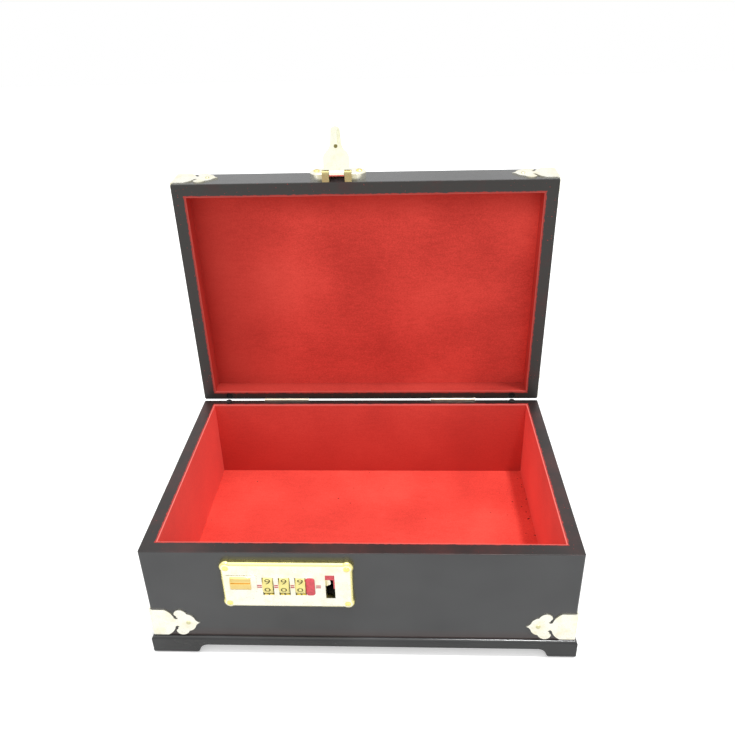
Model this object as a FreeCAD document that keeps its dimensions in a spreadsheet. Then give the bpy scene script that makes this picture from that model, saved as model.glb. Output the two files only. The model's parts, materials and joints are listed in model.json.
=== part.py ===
import FreeCAD
import Part
import Sketcher
import math
import os
from FreeCAD import Placement, Rotation, Vector

# Lacquered wooden cash box: flocked inside, combination lock, hasp and hinged lid.
# Millimetres, +Z up; the front faces -Y. The pieces are drawn about the middle of the boards' footprint
# and moved at the end, so that the origin is the middle of the floor under the open box.
# The lid stands open on its stop: its pieces are drawn closed and then turned open about the hinge.

doc = FreeCAD.newDocument("cash_box")
sheet = doc.addObject("Spreadsheet::Sheet", "Sizes")

SIZES = [
    # Carcass
    ("box_width", 300.0, "front, outside the boards"),
    ("box_depth", 198.0, "side, outside the boards"),
    ("wall", 10.0, "thickness of the carcass boards"),
    ("back_wall", 7.0, "thickness of the back board and of the lid's back rail"),
    ("wall_height", 78.8, "height of the carcass boards"),
    ("corner_round", 1.5, "radius of the upright corners"),
    ("rim_round", 0.6, "radius of the outer edge along the rim"),
    ("bottom_thick", 5.4, "thickness of the bottom panel"),
    ("rabbet", 4.5, "depth of the step that holds the bottom panel"),
    ("panel_play", 0.2, "room round a panel in its rabbet"),
    # Plinth
    ("plinth_height", 16.1, "height of the plinth rails"),
    ("plinth_lip", 2.5, "how far the plinth stands out past the boards"),
    ("plinth_width", 16.0, "width of a plinth rail"),
    ("plinth_top_round", 2.4, "radius along the plinth's upper edge"),
    ("plinth_foot_round", 2.6, "radius along the plinth's lower edge"),
    ("foot_rise", 9.0, "height of the cut-out between two feet"),
    ("foot_flat", 19.0, "foot on the floor, from the boards' corner"),
    ("foot_flat_left", 26.0, "the same at the front's left"),
    ("foot_flat_right", 13.0, "the same at the front's right"),
    ("foot_curve", 12.0, "run of the ogee beside a foot"),
    # Flocked lining
    ("flock", 0.8, "thickness of the flocked lining"),
    ("flock_drop", 0.4, "how far the lining stops short of the rim"),
    # Lid
    ("lid_height", 28.0, "height of the lid's rails"),
    ("lid_wall", 10.0, "thickness of the lid's rails"),
    ("lid_panel_thick", 12.0, "thickness of the lid's top panel"),
    ("lid_rabbet", 4.5, "depth of the step that holds the top panel"),
    ("lid_round", 0.7, "radius along the lid's outer edges"),
    ("lid_angle", 88.0, "how far the lid stands open, in degrees"),
    ("rim_gap", 0.3, "room between the rims of the closed box"),
    # Hinges
    ("hinge_length", 40.0, "length of a hinge"),
    ("hinge_offset", 75.0, "middle of a hinge from the middle of the box"),
    ("leaf_thick", 0.6, "thickness of a hinge leaf"),
    ("leaf_reach", 12.4, "far edge of a leaf from the pin"),
    ("barrel_radius", 1.6, "outside radius of the knuckles"),
    ("barrel_clear", 0.3, "room round the knuckles"),
    ("hinge_pin_radius", 0.8, "radius of the hinge pin"),
    ("pin_fit", 0.05, "radial running clearance on a pin"),
    ("knuckle_count", 5, "knuckles in a hinge"),
    ("knuckle_gap", 0.2, "room between two knuckles"),
    ("hinge_screw_pitch", 14.0, "distance between two hinge screws"),
    ("hinge_screw_head", 1.8, "radius of a countersunk head"),
    ("hinge_screw_shank", 0.9, "radius of a hinge screw's shank"),
    ("hinge_screw_length", 5.2, "length of a hinge screw"),
    # Stop buttons
    ("stop_offset", 127.0, "stop button from the middle of the box"),
    ("stop_radius", 2.6, "radius of a stop button"),
    ("stop_play", 0.3, "room round a stop button in its hole"),
    ("stop_height", 1.9, "height of a stop button"),
    # Corner brackets
    ("bracket_leg", 34.6, "length of a bracket's leg"),
    ("bracket_height", 24.4, "height of a bracket"),
    ("bracket_thick", 0.9, "thickness of a bracket"),
    ("bracket_lift", 1.1, "lower bracket above the plinth"),
    ("bracket_drop", 0.6, "upper bracket below the lid's top"),
    ("bracket_pin_at", 26.2, "pin from the box's corner"),
    ("bracket_pin_shank", 0.7, "radius of a pin's shank"),
    ("bracket_pin_head", 1.7, "radius of a pin's round head"),
    ("bracket_pin_rise", 0.8, "height of a pin's round head"),
    ("bracket_pin_length", 6.0, "length of a pin's shank"),
    # Lock plate and case
    ("lock_left", 94.2, "plate's left edge, left of the box's middle"),
    ("lock_drop", 26.0, "plate's middle below the rim"),
    ("lock_height", 39.6, "height of the face plate"),
    ("lock_thick", 4.4, "thickness of the face plate"),
    ("lock_lobe", 4.7, "radius of the plate's corner lobes"),
    ("lock_corner", 4.4, "radius of the plate's corners"),
    ("lock_edge", 2.4, "rounding along the plate's front edge"),
    ("lock_screw_inset", 4.0, "screw from the plate's edges"),
    ("lock_screw_shank", 0.9, "radius of a lock screw's shank"),
    ("lock_screw_head", 2.3, "radius of a lock screw's head"),
    ("lock_screw_crown", 0.9, "height of a lock screw's head"),
    ("lock_screw_length", 7.0, "lock screw's length in the wood"),
    ("case_play", 0.1, "room between the knob's left side and the case"),
    ("case_height", 24.8, "height of the case"),
    ("case_depth", 14.4, "depth of the case behind the plate"),
    ("case_wall", 0.8, "thickness of the case's sheet"),
    ("mortise_play", 0.2, "room round the case in the front panel"),
    ("cover_wall", 1.0, "thickness of the cover inside the box"),
    # Dials
    ("dial_radius", 10.0, "radius of a number dial"),
    ("dial_width", 7.0, "width of a dial"),
    ("dial_pitch", 11.15, "distance between two dials"),
    ("knob_to_dial", 18.4, "first dial's middle from the knob's middle"),
    ("dial_proud", 2.4, "how far a dial stands out of the plate"),
    ("dial_bevel", 0.5, "bevel on a dial's edges"),
    ("window_play", 0.35, "room beside a dial in its window"),
    ("window_height", 15.6, "height of the dials' windows"),
    ("shaft_radius", 0.8, "radius of the dials' shaft"),
    ("sleeve_radius", 2.0, "radius of a cam sleeve"),
    ("cam_radius", 3.0, "radius of a sleeve's gated flange"),
    ("cam_thick", 1.0, "thickness of the gated flange"),
    ("rib_thick", 1.2, "thickness of the shaft's ribs"),
    # Release knob, latch comb and nose
    ("slide_travel", 2.6, "travel of the release knob"),
    ("comb_thick", 1.2, "thickness of the latch comb"),
    ("comb_gap", 0.5, "room between the comb and the plate"),
    ("finger_thick", 0.9, "thickness of a comb finger"),
    ("finger_room", 0.3, "room beside a comb finger"),
    ("knob_width", 14.0, "length of the knob"),
    ("knob_height", 11.0, "height of the knob"),
    ("knob_proud", 3.0, "how far the knob stands out of the plate"),
    ("knob_round", 0.5, "rounding along the knob's edges"),
    ("knob_facet", 2.0, "depth of the knob's sloping facets"),
    ("knob_inset", 13.5, "knob's middle from the plate's left edge"),
    ("knob_up", 3.6, "knob's middle above the plate's middle"),
    ("knob_play", 0.2, "room round the knob in its window"),
    ("nose_reach", 3.0, "how far the nose shows in the hasp's slot"),
    ("nose_height", 8.0, "height of the nose"),
    # Code-setting button
    ("code_gap", 0.2, "room between the last dial and the button"),
    ("code_width", 6.0, "width of the button"),
    ("code_height", 15.2, "height of the button"),
    ("code_proud", 0.7, "how far the button stands out of the plate"),
    ("code_lip", 1.2, "lip that keeps the button behind the plate"),
    ("code_lip_thick", 0.7, "thickness of the lip"),
    ("code_rest", 0.1, "room between the lips and the plate"),
    ("code_round", 1.0, "rounding along the button's front edge"),
    # Hasp
    ("code_to_slot", 13.5, "hasp slot's middle from the button's middle"),
    ("slot_inset", 15.6, "hasp slot's middle from the plate's right edge"),
    ("slot_room", 1.8, "room beside the slot in the case"),
    ("slot_width", 6.4, "width of the hasp slot"),
    ("slot_height", 20.8, "height of the hasp slot"),
    ("hasp_width", 44.0, "length of the hasp's base"),
    ("hasp_height", 17.0, "height of the hasp's base"),
    ("hasp_thick", 5.4, "thickness of the hasp's base"),
    ("hasp_edge", 1.2, "rounding along the base's front edge"),
    ("hasp_notch", 5.2, "depth of the base's notch between its lugs"),
    ("hasp_out", 6.4, "hasp pin in front of the lid"),
    ("hasp_up", 1.6, "hasp pin above the lid's rim"),
    ("hasp_barrel", 2.6, "outside radius of the hasp's knuckles"),
    ("hasp_pin_radius", 1.0, "radius of the hasp pin"),
    ("hasp_knuckle", 11.4, "length of the flap's knuckle"),
    ("hasp_lug", 5.4, "length of a knuckle on the base"),
    ("hasp_gap", 0.3, "room between the hasp's knuckles"),
    ("hasp_screw_run", 16.6, "hasp screw from the hasp's middle"),
    ("hasp_screw_shank", 1.2, "radius of a hasp screw's shank"),
    ("hasp_screw_head", 2.6, "radius of a hasp screw's head"),
    ("hasp_screw_rise", 1.1, "height of a hasp screw's head"),
    ("hasp_screw_length", 7.0, "hasp screw's length in the wood"),
    ("flap_length", 34.6, "length of the flap from its pin"),
    ("flap_width", 20.0, "width of the flap at its shoulders"),
    ("flap_thick", 2.0, "thickness of the flap"),
    ("flap_round", 0.4, "rounding along the flap's front edge"),
    ("flap_clear", 0.5, "room between the closed flap and the lock"),
    ("flap_angle", 98.0, "how far the flap stands open, in degrees"),
    ("tongue_thick", 1.8, "thickness of the flap's tongue"),
    ("tongue_height", 11.0, "height of the tongue"),
    ("tongue_reach", 9.0, "length of the tongue behind the flap"),
    ("eye_room", 0.4, "room round the nose in the tongue's eye"),
]

for row, (alias, value, note) in enumerate(SIZES, start=1):
    sheet.set(f"A{row}", note)
    sheet.set(f"B{row}", str(value))
    sheet.setAlias(f"B{row}", alias)
doc.recompute()


def size(alias):
    return float(sheet.get(alias))


# Places worked out from the sizes
FRONT_Y = -size("box_depth") / 2
BACK_Y = size("box_depth") / 2
SIDE_X = size("box_width") / 2
SEAM_Z = size("plinth_height") + size("wall_height")
LID_Z = SEAM_Z + size("rim_gap")
LID_TOP = LID_Z + size("lid_height")
HINGE_Y = BACK_Y + size("leaf_thick")
HINGE_Z = SEAM_Z + size("rim_gap") / 2
PLATE_Y = FRONT_Y - size("lock_thick")
LOCK_Z = SEAM_Z - size("lock_drop")
KNOB_X = size("knob_inset") - size("lock_left")
DIAL_Y = PLATE_Y - size("dial_proud") + size("dial_radius")
DIAL_X = [KNOB_X + size("knob_to_dial") + number * size("dial_pitch") for number in range(3)]
CODE_X = DIAL_X[2] + size("dial_width") / 2 + size("code_gap") + size("code_width") / 2
SLOT_X = CODE_X + size("code_to_slot")
LOCK_X = (SLOT_X + size("slot_inset") - size("lock_left")) / 2
CASE_X = KNOB_X - size("knob_width") / 2 - size("case_play") - size("case_wall")
COMB_Y = FRONT_Y + size("comb_gap")
COMB_BACK = COMB_Y + size("comb_thick")
HASP_Y = FRONT_Y - size("hasp_out")
HASP_Z = LID_Z + size("hasp_up")

# Lengths that span a row of pieces, as formulas: from the knob to the slot, the plate and the case
KNOB_TO_SLOT = ("Sizes.knob_to_dial + 2 * Sizes.dial_pitch + 0.5 * Sizes.dial_width + Sizes.code_gap"
                " + 0.5 * Sizes.code_width + Sizes.code_to_slot")
LOCK_WIDTH = KNOB_TO_SLOT + " + Sizes.knob_inset + Sizes.slot_inset"
CASE_WIDTH = (KNOB_TO_SLOT + " + 0.5 * Sizes.knob_width + Sizes.case_play + 0.5 * Sizes.slot_width"
              " + Sizes.slot_room + 2 * Sizes.case_wall")

X_AXIS = Vector(1, 0, 0)
Z_AXIS = Vector(0, 0, 1)
OPEN_LID = Placement(Vector(), Rotation(X_AXIS, -size("lid_angle")), Vector(0, HINGE_Y, HINGE_Z))
OPEN_FLAP = Placement(Vector(), Rotation(X_AXIS, -size("flap_angle")), Vector(0, HASP_Y, HASP_Z))
ALONG_X = Rotation(Vector(0, 1, 0), 90)
INTO_FRONT = Rotation(X_AXIS, -90)

# Share of a raised head's radius that its flat crown keeps, and rise of a knob facet per depth
CROWN = 0.6
KNOB_SLOPE = 1.6

pieces = []


def keep(item, label, turn=None):
    """List a finished piece under its name; turn moves it from where it was drawn."""
    item.Label = label
    if turn is not None:
        item.Placement = turn.multiply(item.Placement)
    pieces.append(item)
    return item


def bind(item, formulas):
    for name, formula in formulas.items():
        item.setExpression(name, formula)


# Sketched pieces

def new_body(label, place=Placement()):
    body = doc.addObject("PartDesign::Body", label)
    body.Placement = place
    return body


def sketch_on(body, role, offset=0.0):
    """A sketch on one of the body's own planes, moved along the plane's normal."""
    sketch = body.newObject("Sketcher::SketchObject", body.Label + "_sketch")
    plane = next(item for item in body.Origin.OriginFeatures if item.Role == role)
    sketch.AttachmentSupport = [(plane, "")]
    sketch.MapMode = "FlatFace"
    sketch.AttachmentOffset = Placement(Vector(0, 0, offset), Rotation())
    return sketch


def end_at(sketch, edge, point):
    return 1 if sketch.getPoint(edge, 1).distanceToPoint(point) < 1e-6 else 2


def trace(sketch, start, moves):
    """Draw a closed outline: a move is a point, or a pair for an arc through the first point."""
    first = here = Vector(*start)
    edges = []
    for move in moves:
        if is_arc(move):
            there = Vector(*move[1])
            edge = sketch.addGeometry(Part.Arc(here, Vector(*move[0]), there))
        else:
            there = Vector(*move)
            edge = sketch.addGeometry(Part.LineSegment(here, there))
        edges.append((edge, here, there))
        here = there
    if here.distanceToPoint(first) > 1e-6:
        edges.append((sketch.addGeometry(Part.LineSegment(here, first)), here, first))
    for (edge, _, there), (after, begin, _) in zip(edges, edges[1:] + edges[:1]):
        ends = (edge, end_at(sketch, edge, there), after, end_at(sketch, after, begin))
        sketch.addConstraint(Sketcher.Constraint("Coincident", *ends))


def rectangle(sketch, left, low, width, height):
    """A rectangle from its lower left corner, with its two sides bound to formulas."""
    wide, high = (sheet_value(formula) for formula in (width, height))
    corners = [(left, low), (left + wide, low), (left + wide, low + high), (left, low + high)]
    base = sketch.GeometryCount
    trace(sketch, corners[0], corners[1:])
    for edge, kind in enumerate(("Horizontal", "Vertical", "Horizontal", "Vertical")):
        sketch.addConstraint(Sketcher.Constraint(kind, base + edge))
    for edge, formula in ((base, width), (base + 1, height)):
        length = sheet_value(formula)
        number = sketch.addConstraint(Sketcher.Constraint("Distance", edge, length))
        sketch.setExpression(f"Constraints[{number}]", formula)


def sheet_value(formula):
    """The number that a formula of terms such as Sizes.wall + 2 * Sizes.flock comes to."""
    total = 0.0
    for term in formula.replace("- ", "+ -").split("+ "):
        product = 1.0
        for factor in term.replace("-Sizes", "-1 * Sizes").split("*"):
            factor = factor.strip()
            product *= size(factor[6:]) if factor.startswith("Sizes.") else float(factor)
        total += product
    return total


def circle(sketch, x, y, radius):
    edge = sketch.addGeometry(Part.Circle(Vector(x, y, 0), Z_AXIS, sheet_value(radius)))
    number = sketch.addConstraint(Sketcher.Constraint("Radius", edge, sheet_value(radius)))
    sketch.setExpression(f"Constraints[{number}]", radius)


def pad(body, sketch, length, side="One side", reverse=False):
    feature = body.newObject("PartDesign::Pad", body.Label + "_pad")
    feature.Profile = sketch
    feature.SideType = side
    feature.Reversed = reverse
    feature.setExpression("Length", length)
    doc.recompute()
    return feature


def pocket(body, sketch, depth=None, side="One side", reverse=False):
    """Cut a sketch's outline out of the body, right through it where no depth is given."""
    before = body.Shape.Volume
    feature = body.newObject("PartDesign::Pocket", body.Label + "_pocket")
    feature.Profile = sketch
    feature.SideType = side
    feature.Reversed = reverse
    if depth is None:
        feature.Type = "ThroughAll"
    else:
        feature.setExpression("Length", depth)
    doc.recompute()
    if body.Shape.Volume > before - 1e-6:
        raise RuntimeError(body.Label + ": a pocket cut nothing")
    return feature


def revolve(body, sketch):
    """Turn a sketch on the XY plane about the X axis."""
    feature = body.newObject("PartDesign::Revolution", body.Label + "_turn")
    feature.Profile = sketch
    feature.ReferenceAxis = (sketch, ["H_Axis"])
    feature.Angle = 360
    doc.recompute()
    return feature


def fillet(body, radius, chosen):
    """Round the edges of the body whose middle point passes the test."""
    base = body.Tip
    names = []
    for number, edge in enumerate(base.Shape.Edges, start=1):
        middle = edge.valueAt((edge.FirstParameter + edge.LastParameter) / 2)
        if chosen(middle):
            names.append(f"Edge{number}")
    feature = body.newObject("PartDesign::Fillet", body.Label + "_round")
    feature.Base = (base, names)
    feature.setExpression("Radius", radius)
    doc.recompute()
    return feature


def near(one, other):
    return abs(one - other) < 1e-4


# Pieces of plain solids

def block(name, corner, length, width, height):
    item = doc.addObject("Part::Box", name)
    item.Placement = Placement(Vector(*corner), Rotation())
    bind(item, {"Length": length, "Width": width, "Height": height})
    return item


def rod(name, start, radius, length, turn=Rotation()):
    item = doc.addObject("Part::Cylinder", name)
    item.Placement = Placement(Vector(*start), turn)
    bind(item, {"Radius": radius, "Height": length})
    return item


def taper(name, start, low, high, length, turn=Rotation()):
    item = doc.addObject("Part::Cone", name)
    item.Placement = Placement(Vector(*start), turn)
    bind(item, {"Radius1": low, "Radius2": high, "Height": length})
    return item


def join(name, items):
    item = doc.addObject("Part::MultiFuse", name)
    item.Shapes = items
    item.Refine = True
    return item


def cut(name, base, tools):
    item = doc.addObject("Part::Cut", name)
    item.Base = base
    item.Tool = tools[0] if len(tools) == 1 else join(name + "_tools", tools)
    item.Refine = True
    return item


def group(name, items):
    item = doc.addObject("Part::Compound", name)
    item.Links = items
    return item


# Outlines: each move is a point, or a pair of points for an arc

def is_arc(move):
    return isinstance(move[0], tuple)


def reversed_run(moves, start):
    """The same outline drawn from its far end back to its start."""
    ends = [start] + [move[1] if is_arc(move) else move for move in moves]
    back = reversed(list(zip(moves, ends)))
    return [(move[0], begin) if is_arc(move) else begin for move, begin in back]


def scaled(moves, across, up):
    """An outline given in shares of two lengths, at its real size."""
    return [tuple((x * across, y * up) for x, y in move) if is_arc(move)
            else (move[0] * across, move[1] * up) for move in moves]


# Boards of the carcass and the lid: the outer face is the local plane y = 0, the inside is +y

def board_places(bottom):
    """Where the four boards of a mitred frame stand: name, board length and placement."""
    return {
        "front": ("Sizes.box_width", Placement(Vector(0, FRONT_Y, bottom), Rotation(Z_AXIS, 0))),
        "right": ("Sizes.box_depth", Placement(Vector(SIDE_X, 0, bottom), Rotation(Z_AXIS, 90))),
        "back": ("Sizes.box_width", Placement(Vector(0, BACK_Y, bottom), Rotation(Z_AXIS, 180))),
        "left": ("Sizes.box_depth", Placement(Vector(-SIDE_X, 0, bottom), Rotation(Z_AXIS, 270))),
    }


def thicknesses(side, wall):
    """A board's thickness, and those of the boards that its left and right ends meet."""
    back = "Sizes.back_wall"
    return {"front": (wall, wall, wall), "right": (wall, wall, back), "back": (back, wall, wall),
            "left": (wall, back, wall)}[side]


def mitred_board(label, place, run, thick, left, right, height):
    """An upright board, mitred to the boards at both ends, with its outer upright corners rounded."""
    body = new_body(label, place)
    half = sheet_value(run) / 2
    radius = size("corner_round")
    lean = radius * (1 - math.sqrt(0.5))
    bow_in = radius * (1 - math.sin(math.pi / 8))
    bow_up = radius * (1 - math.cos(math.pi / 8))
    plan = sketch_on(body, "XY_Plane")
    trace(plan, (radius - half, 0), [
        (half - radius, 0),
        ((half - bow_in, bow_up), (half - lean, lean)),
        (half - sheet_value(right), sheet_value(thick)),
        (sheet_value(left) - half, sheet_value(thick)),
        (lean - half, lean),
        ((bow_in - half, bow_up), (radius - half, 0)),
    ])
    pad(body, plan, height)
    return body


def cut_rabbet(body, run, thick, depth, height, top=None):
    """Step the inner edge of a board at its foot, or at its top where a top height is given."""
    half = sheet_value(run) / 2
    plan = sketch_on(body, "XY_Plane", 0.0 if top is None else top)
    rectangle(plan, -half, sheet_value(thick) - sheet_value(depth), run, depth)
    pocket(body, plan, height, reverse=top is None)


def drill_front(body, spots, radius, depth):
    """Blind holes in a board's outer face, each spot along and up the board."""
    face = sketch_on(body, "XZ_Plane")
    for along, up in spots:
        circle(face, along, up, radius)
    pocket(body, face, depth)


def bracket_spots(run, height):
    """Where the corner brackets' pins enter a board of this length, at this height."""
    along = sheet_value(run) / 2 - size("bracket_pin_at")
    return [(-along, height), (along, height)]


LOWER_BRACKET_Z = size("plinth_height") + size("bracket_lift") + size("bracket_height") / 2
UPPER_BRACKET_Z = LID_TOP - size("bracket_drop") - size("bracket_height") / 2
HINGE_X = (-size("hinge_offset"), size("hinge_offset"))
SCREW_STEPS = (-size("hinge_screw_pitch"), 0.0, size("hinge_screw_pitch"))
SCREW_REACH = (size("leaf_reach") + size("barrel_radius") + size("barrel_clear")) / 2


def seat_hinges(body, pin, up):
    """Hollow a back board's rim along both barrels, the pin at this height, and drill for the screws."""
    for middle in HINGE_X:
        end = sketch_on(body, "YZ_Plane", middle)
        circle(end, -size("leaf_thick"), pin, "Sizes.barrel_radius + Sizes.barrel_clear")
        pocket(body, end, "Sizes.hinge_length + 2 * Sizes.barrel_clear", side="Symmetric")
    spots = [(middle + step, pin + up * SCREW_REACH) for middle in HINGE_X for step in SCREW_STEPS]
    drill_front(body, spots, "Sizes.hinge_screw_shank", "Sizes.hinge_screw_length")


def seat_stops(body):
    """Blind holes in the lid's back rail that take the stop buttons when the box is closed."""
    plan = sketch_on(body, "XY_Plane")
    for side in (-1, 1):
        circle(plan, side * size("stop_offset"), size("back_wall") / 2, "Sizes.stop_radius + Sizes.stop_play")
    pocket(body, plan, "Sizes.stop_height", reverse=True)


def lock_screw_spots():
    along = sheet_value(LOCK_WIDTH) / 2 - size("lock_screw_inset")
    rise = size("lock_height") / 2 - size("lock_screw_inset")
    return [(LOCK_X + side * along, LOCK_Z + up * rise) for side in (-1, 1) for up in (-1, 1)]


def carcass_boards():
    """Four mitred boards; the front one is mortised for the lock."""
    bottom = size("plinth_height")
    labels = {"front": "front_panel", "back": "back_panel", "left": "left_end", "right": "right_end"}
    for side, (run, place) in board_places(bottom).items():
        thick, left, right = thicknesses(side, "Sizes.wall")
        body = mitred_board(labels[side], place, run, thick, left, right, "Sizes.wall_height")
        fillet(body, "Sizes.rim_round", lambda spot: near(spot.y, 0) and near(spot.z, size("wall_height")))
        cut_rabbet(body, run, thick, thick + " - Sizes.wall + Sizes.rabbet", "Sizes.bottom_thick")
        spots = bracket_spots(run, LOWER_BRACKET_Z - bottom)
        drill_front(body, spots, "Sizes.bracket_pin_shank", "Sizes.bracket_pin_length - Sizes.bracket_thick")
        if side == "front":
            mortise = sketch_on(body, "XZ_Plane")
            rectangle(mortise, CASE_X - size("mortise_play"),
                      LOCK_Z - bottom - size("case_height") / 2 - size("mortise_play"),
                      CASE_WIDTH + " + 2 * Sizes.mortise_play",
                      "Sizes.case_height + 2 * Sizes.mortise_play")
            pocket(body, mortise)
            holes = [(along, up - bottom) for along, up in lock_screw_spots()]
            drill_front(body, holes, "Sizes.lock_screw_shank", "Sizes.lock_screw_length")
        if side == "back":
            seat_hinges(body, HINGE_Z - bottom, -1)
        keep(body, labels[side])


def bottom_panel():
    margin = size("wall") - size("rabbet") + size("panel_play")
    keep(block("bottom_panel", (margin - SIDE_X, FRONT_Y + margin, size("plinth_height")),
               "Sizes.box_width - 2 * (Sizes.wall - Sizes.rabbet + Sizes.panel_play)",
               "Sizes.box_depth - 2 * (Sizes.wall - Sizes.rabbet + Sizes.panel_play)",
               "Sizes.bottom_thick - Sizes.panel_play"), "bottom_panel")


def ogee(start, rise, run):
    """Two equal arcs that climb from a start, level at both ends; run may be negative."""
    radius = ((run / 2) ** 2 + (rise / 2) ** 2) / rise
    half_turn = math.atan2(rise / 2, abs(run) / 2)
    side = math.copysign(radius * math.sin(half_turn), run)
    bow = radius * (1 - math.cos(half_turn))
    middle = (start + run / 2, rise / 2)
    return [((start + side, bow), middle), ((start + run - side, rise - bow), (start + run, rise))]


def plinth_rails():
    """Four mitred rails with a bull-nosed section and an ogee cut-out between their feet."""
    lip = size("plinth_lip")
    wide = size("plinth_width")
    tall = size("plinth_height")
    top = size("plinth_top_round")
    foot = size("plinth_foot_round")
    bow = 1 - math.sqrt(0.5)
    rise = size("foot_rise")
    for side, (run, place) in board_places(0.0).items():
        body = new_body("plinth_" + side, place.multiply(Placement(Vector(0, -lip, 0), Rotation())))
        half = sheet_value(run) / 2 + lip
        section = sketch_on(body, "YZ_Plane")
        trace(section, (foot, 0), [
            (wide, 0),
            (wide, tall),
            (top, tall),
            ((bow * top, tall - bow * top), (0, tall - top)),
            (0, foot),
            ((bow * foot, bow * foot), (foot, 0)),
        ])
        pad(body, section, run + " + 2 * Sizes.plinth_lip", side="Symmetric")
        ends = sketch_on(body, "XY_Plane")
        for hand in (-1, 1):
            far = hand * (half + lip)
            trace(ends, (far, -lip), [(far, wide + lip), (hand * (half - wide - lip), wide + lip)])
        pocket(body, ends, side="Symmetric")
        arch = sketch_on(body, "XZ_Plane")
        left = size("foot_flat_left" if side == "front" else "foot_flat") + lip - half
        right = half - lip - size("foot_flat_right" if side == "front" else "foot_flat")
        trace(arch, (left, 0), [
            *ogee(left, rise, size("foot_curve")),
            (right - size("foot_curve"), rise),
            *reversed_run(ogee(right, rise, -size("foot_curve")), (right, 0)),
        ])
        pocket(body, arch, side="Symmetric")
        keep(body, "plinth_" + side)


def linings():
    """Flocked sheets on the floor and the four walls, and the cover over the lock's back."""
    sheet_high = "Sizes.wall_height - Sizes.bottom_thick - Sizes.flock_drop"
    floor_z = size("plinth_height") + size("bottom_thick")
    inner_x = SIDE_X - size("wall")
    inner_y = FRONT_Y + size("wall")
    flock = size("flock")
    across = "Sizes.box_width - 2 * Sizes.wall"
    deep = "Sizes.box_depth - Sizes.wall - Sizes.back_wall - 2 * Sizes.flock"
    keep(block("floor_lining", (flock - inner_x, inner_y + flock, floor_z),
               across + " - 2 * Sizes.flock", deep, "Sizes.flock"), "floor_lining")
    for name, x in (("left_lining", -inner_x), ("right_lining", inner_x - flock)):
        keep(block(name, (x, inner_y + flock, floor_z), "Sizes.flock", deep, sheet_high), name)
    keep(block("back_lining", (-inner_x, BACK_Y - size("back_wall") - flock, floor_z), across,
               "Sizes.flock", sheet_high), "back_lining")
    whole = block("front_sheet", (-inner_x, inner_y, floor_z), across, "Sizes.flock", sheet_high)
    keep(cut("front_lining", whole, [cover_block("front_hole", 0.0, "Sizes.flock")]), "front_lining")
    room = "Sizes.case_depth - Sizes.wall + Sizes.mortise_play"
    shell = cover_block("cover_outside", 0.0, room + " + Sizes.cover_wall")
    keep(cut("lock_cover", shell, [cover_block("cover_inside", size("cover_wall"), room)]), "lock_cover")


def cover_block(name, inset, depth):
    """A block behind the lock's case, from the front panel's inner face into the box."""
    around = size("mortise_play") + size("cover_wall") - inset
    walls = "" if inset else " + 2 * Sizes.cover_wall"
    corner = (CASE_X - around, FRONT_Y + size("wall"), LOCK_Z - size("case_height") / 2 - around)
    return block(name, corner, CASE_WIDTH + " + 2 * Sizes.mortise_play" + walls,
                 depth, "Sizes.case_height + 2 * Sizes.mortise_play" + walls)


def lid_frame():
    """Four mitred rails and the top panel."""
    height = size("lid_height")
    for side, (run, place) in board_places(LID_Z).items():
        thick, left, right = thicknesses(side, "Sizes.lid_wall")
        body = mitred_board("lid_" + side + "_rail", place, run, thick, left, right, "Sizes.lid_height")
        cut_rabbet(body, run, thick, thick + " - Sizes.lid_wall + Sizes.lid_rabbet",
                   "Sizes.lid_panel_thick", top=height)
        fillet(body, "Sizes.lid_round",
               lambda spot: near(spot.y, 0) and (near(spot.z, 0) or near(spot.z, height)))
        spots = bracket_spots(run, UPPER_BRACKET_Z - LID_Z)
        drill_front(body, spots, "Sizes.bracket_pin_shank", "Sizes.bracket_pin_length - Sizes.bracket_thick")
        if side == "back":
            seat_hinges(body, HINGE_Z - LID_Z, 1)
            seat_stops(body)
        if side == "front":
            holes = [(spot, HASP_SCREW_Z - LID_Z) for spot in HASP_SCREW_X]
            drill_front(body, holes, "Sizes.hasp_screw_shank", "Sizes.hasp_screw_length")
        keep(body, body.Label, OPEN_LID)
    margin = size("lid_wall") - size("lid_rabbet") + size("panel_play")
    keep(block("lid_panel", (margin - SIDE_X, FRONT_Y + margin, LID_TOP - size("lid_panel_thick")),
               "Sizes.box_width - 2 * (Sizes.lid_wall - Sizes.lid_rabbet + Sizes.panel_play)",
               "Sizes.box_depth - 2 * (Sizes.lid_wall - Sizes.lid_rabbet + Sizes.panel_play)",
               "Sizes.lid_panel_thick"), "lid_panel", OPEN_LID)


def lid_linings():
    """A flocked sheet under the top panel and a strip on the inside of each rail."""
    flock = size("flock")
    inner_x = SIDE_X - size("lid_wall")
    inner_y = FRONT_Y + size("lid_wall")
    under = LID_TOP - size("lid_panel_thick")
    low = LID_Z + size("flock_drop")
    across = "Sizes.box_width - 2 * Sizes.lid_wall"
    deep = "Sizes.box_depth - Sizes.lid_wall - Sizes.back_wall - 2 * Sizes.flock"
    tall = "Sizes.lid_height - Sizes.lid_panel_thick - Sizes.flock_drop"
    keep(block("lid_lining", (flock - inner_x, inner_y + flock, under - flock),
               across + " - 2 * Sizes.flock", deep, "Sizes.flock"), "lid_lining", OPEN_LID)
    strips = [
        block("lid_left_strip", (-inner_x, inner_y + flock, low), "Sizes.flock", deep, tall),
        block("lid_right_strip", (inner_x - flock, inner_y + flock, low), "Sizes.flock", deep, tall),
        block("lid_front_strip", (-inner_x, inner_y, low), across, "Sizes.flock", tall),
        block("lid_back_strip", (-inner_x, BACK_Y - size("back_wall") - flock, low), across,
              "Sizes.flock", tall),
    ]
    keep(group("lid_edge_linings", strips), "lid_edge_linings", OPEN_LID)


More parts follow.
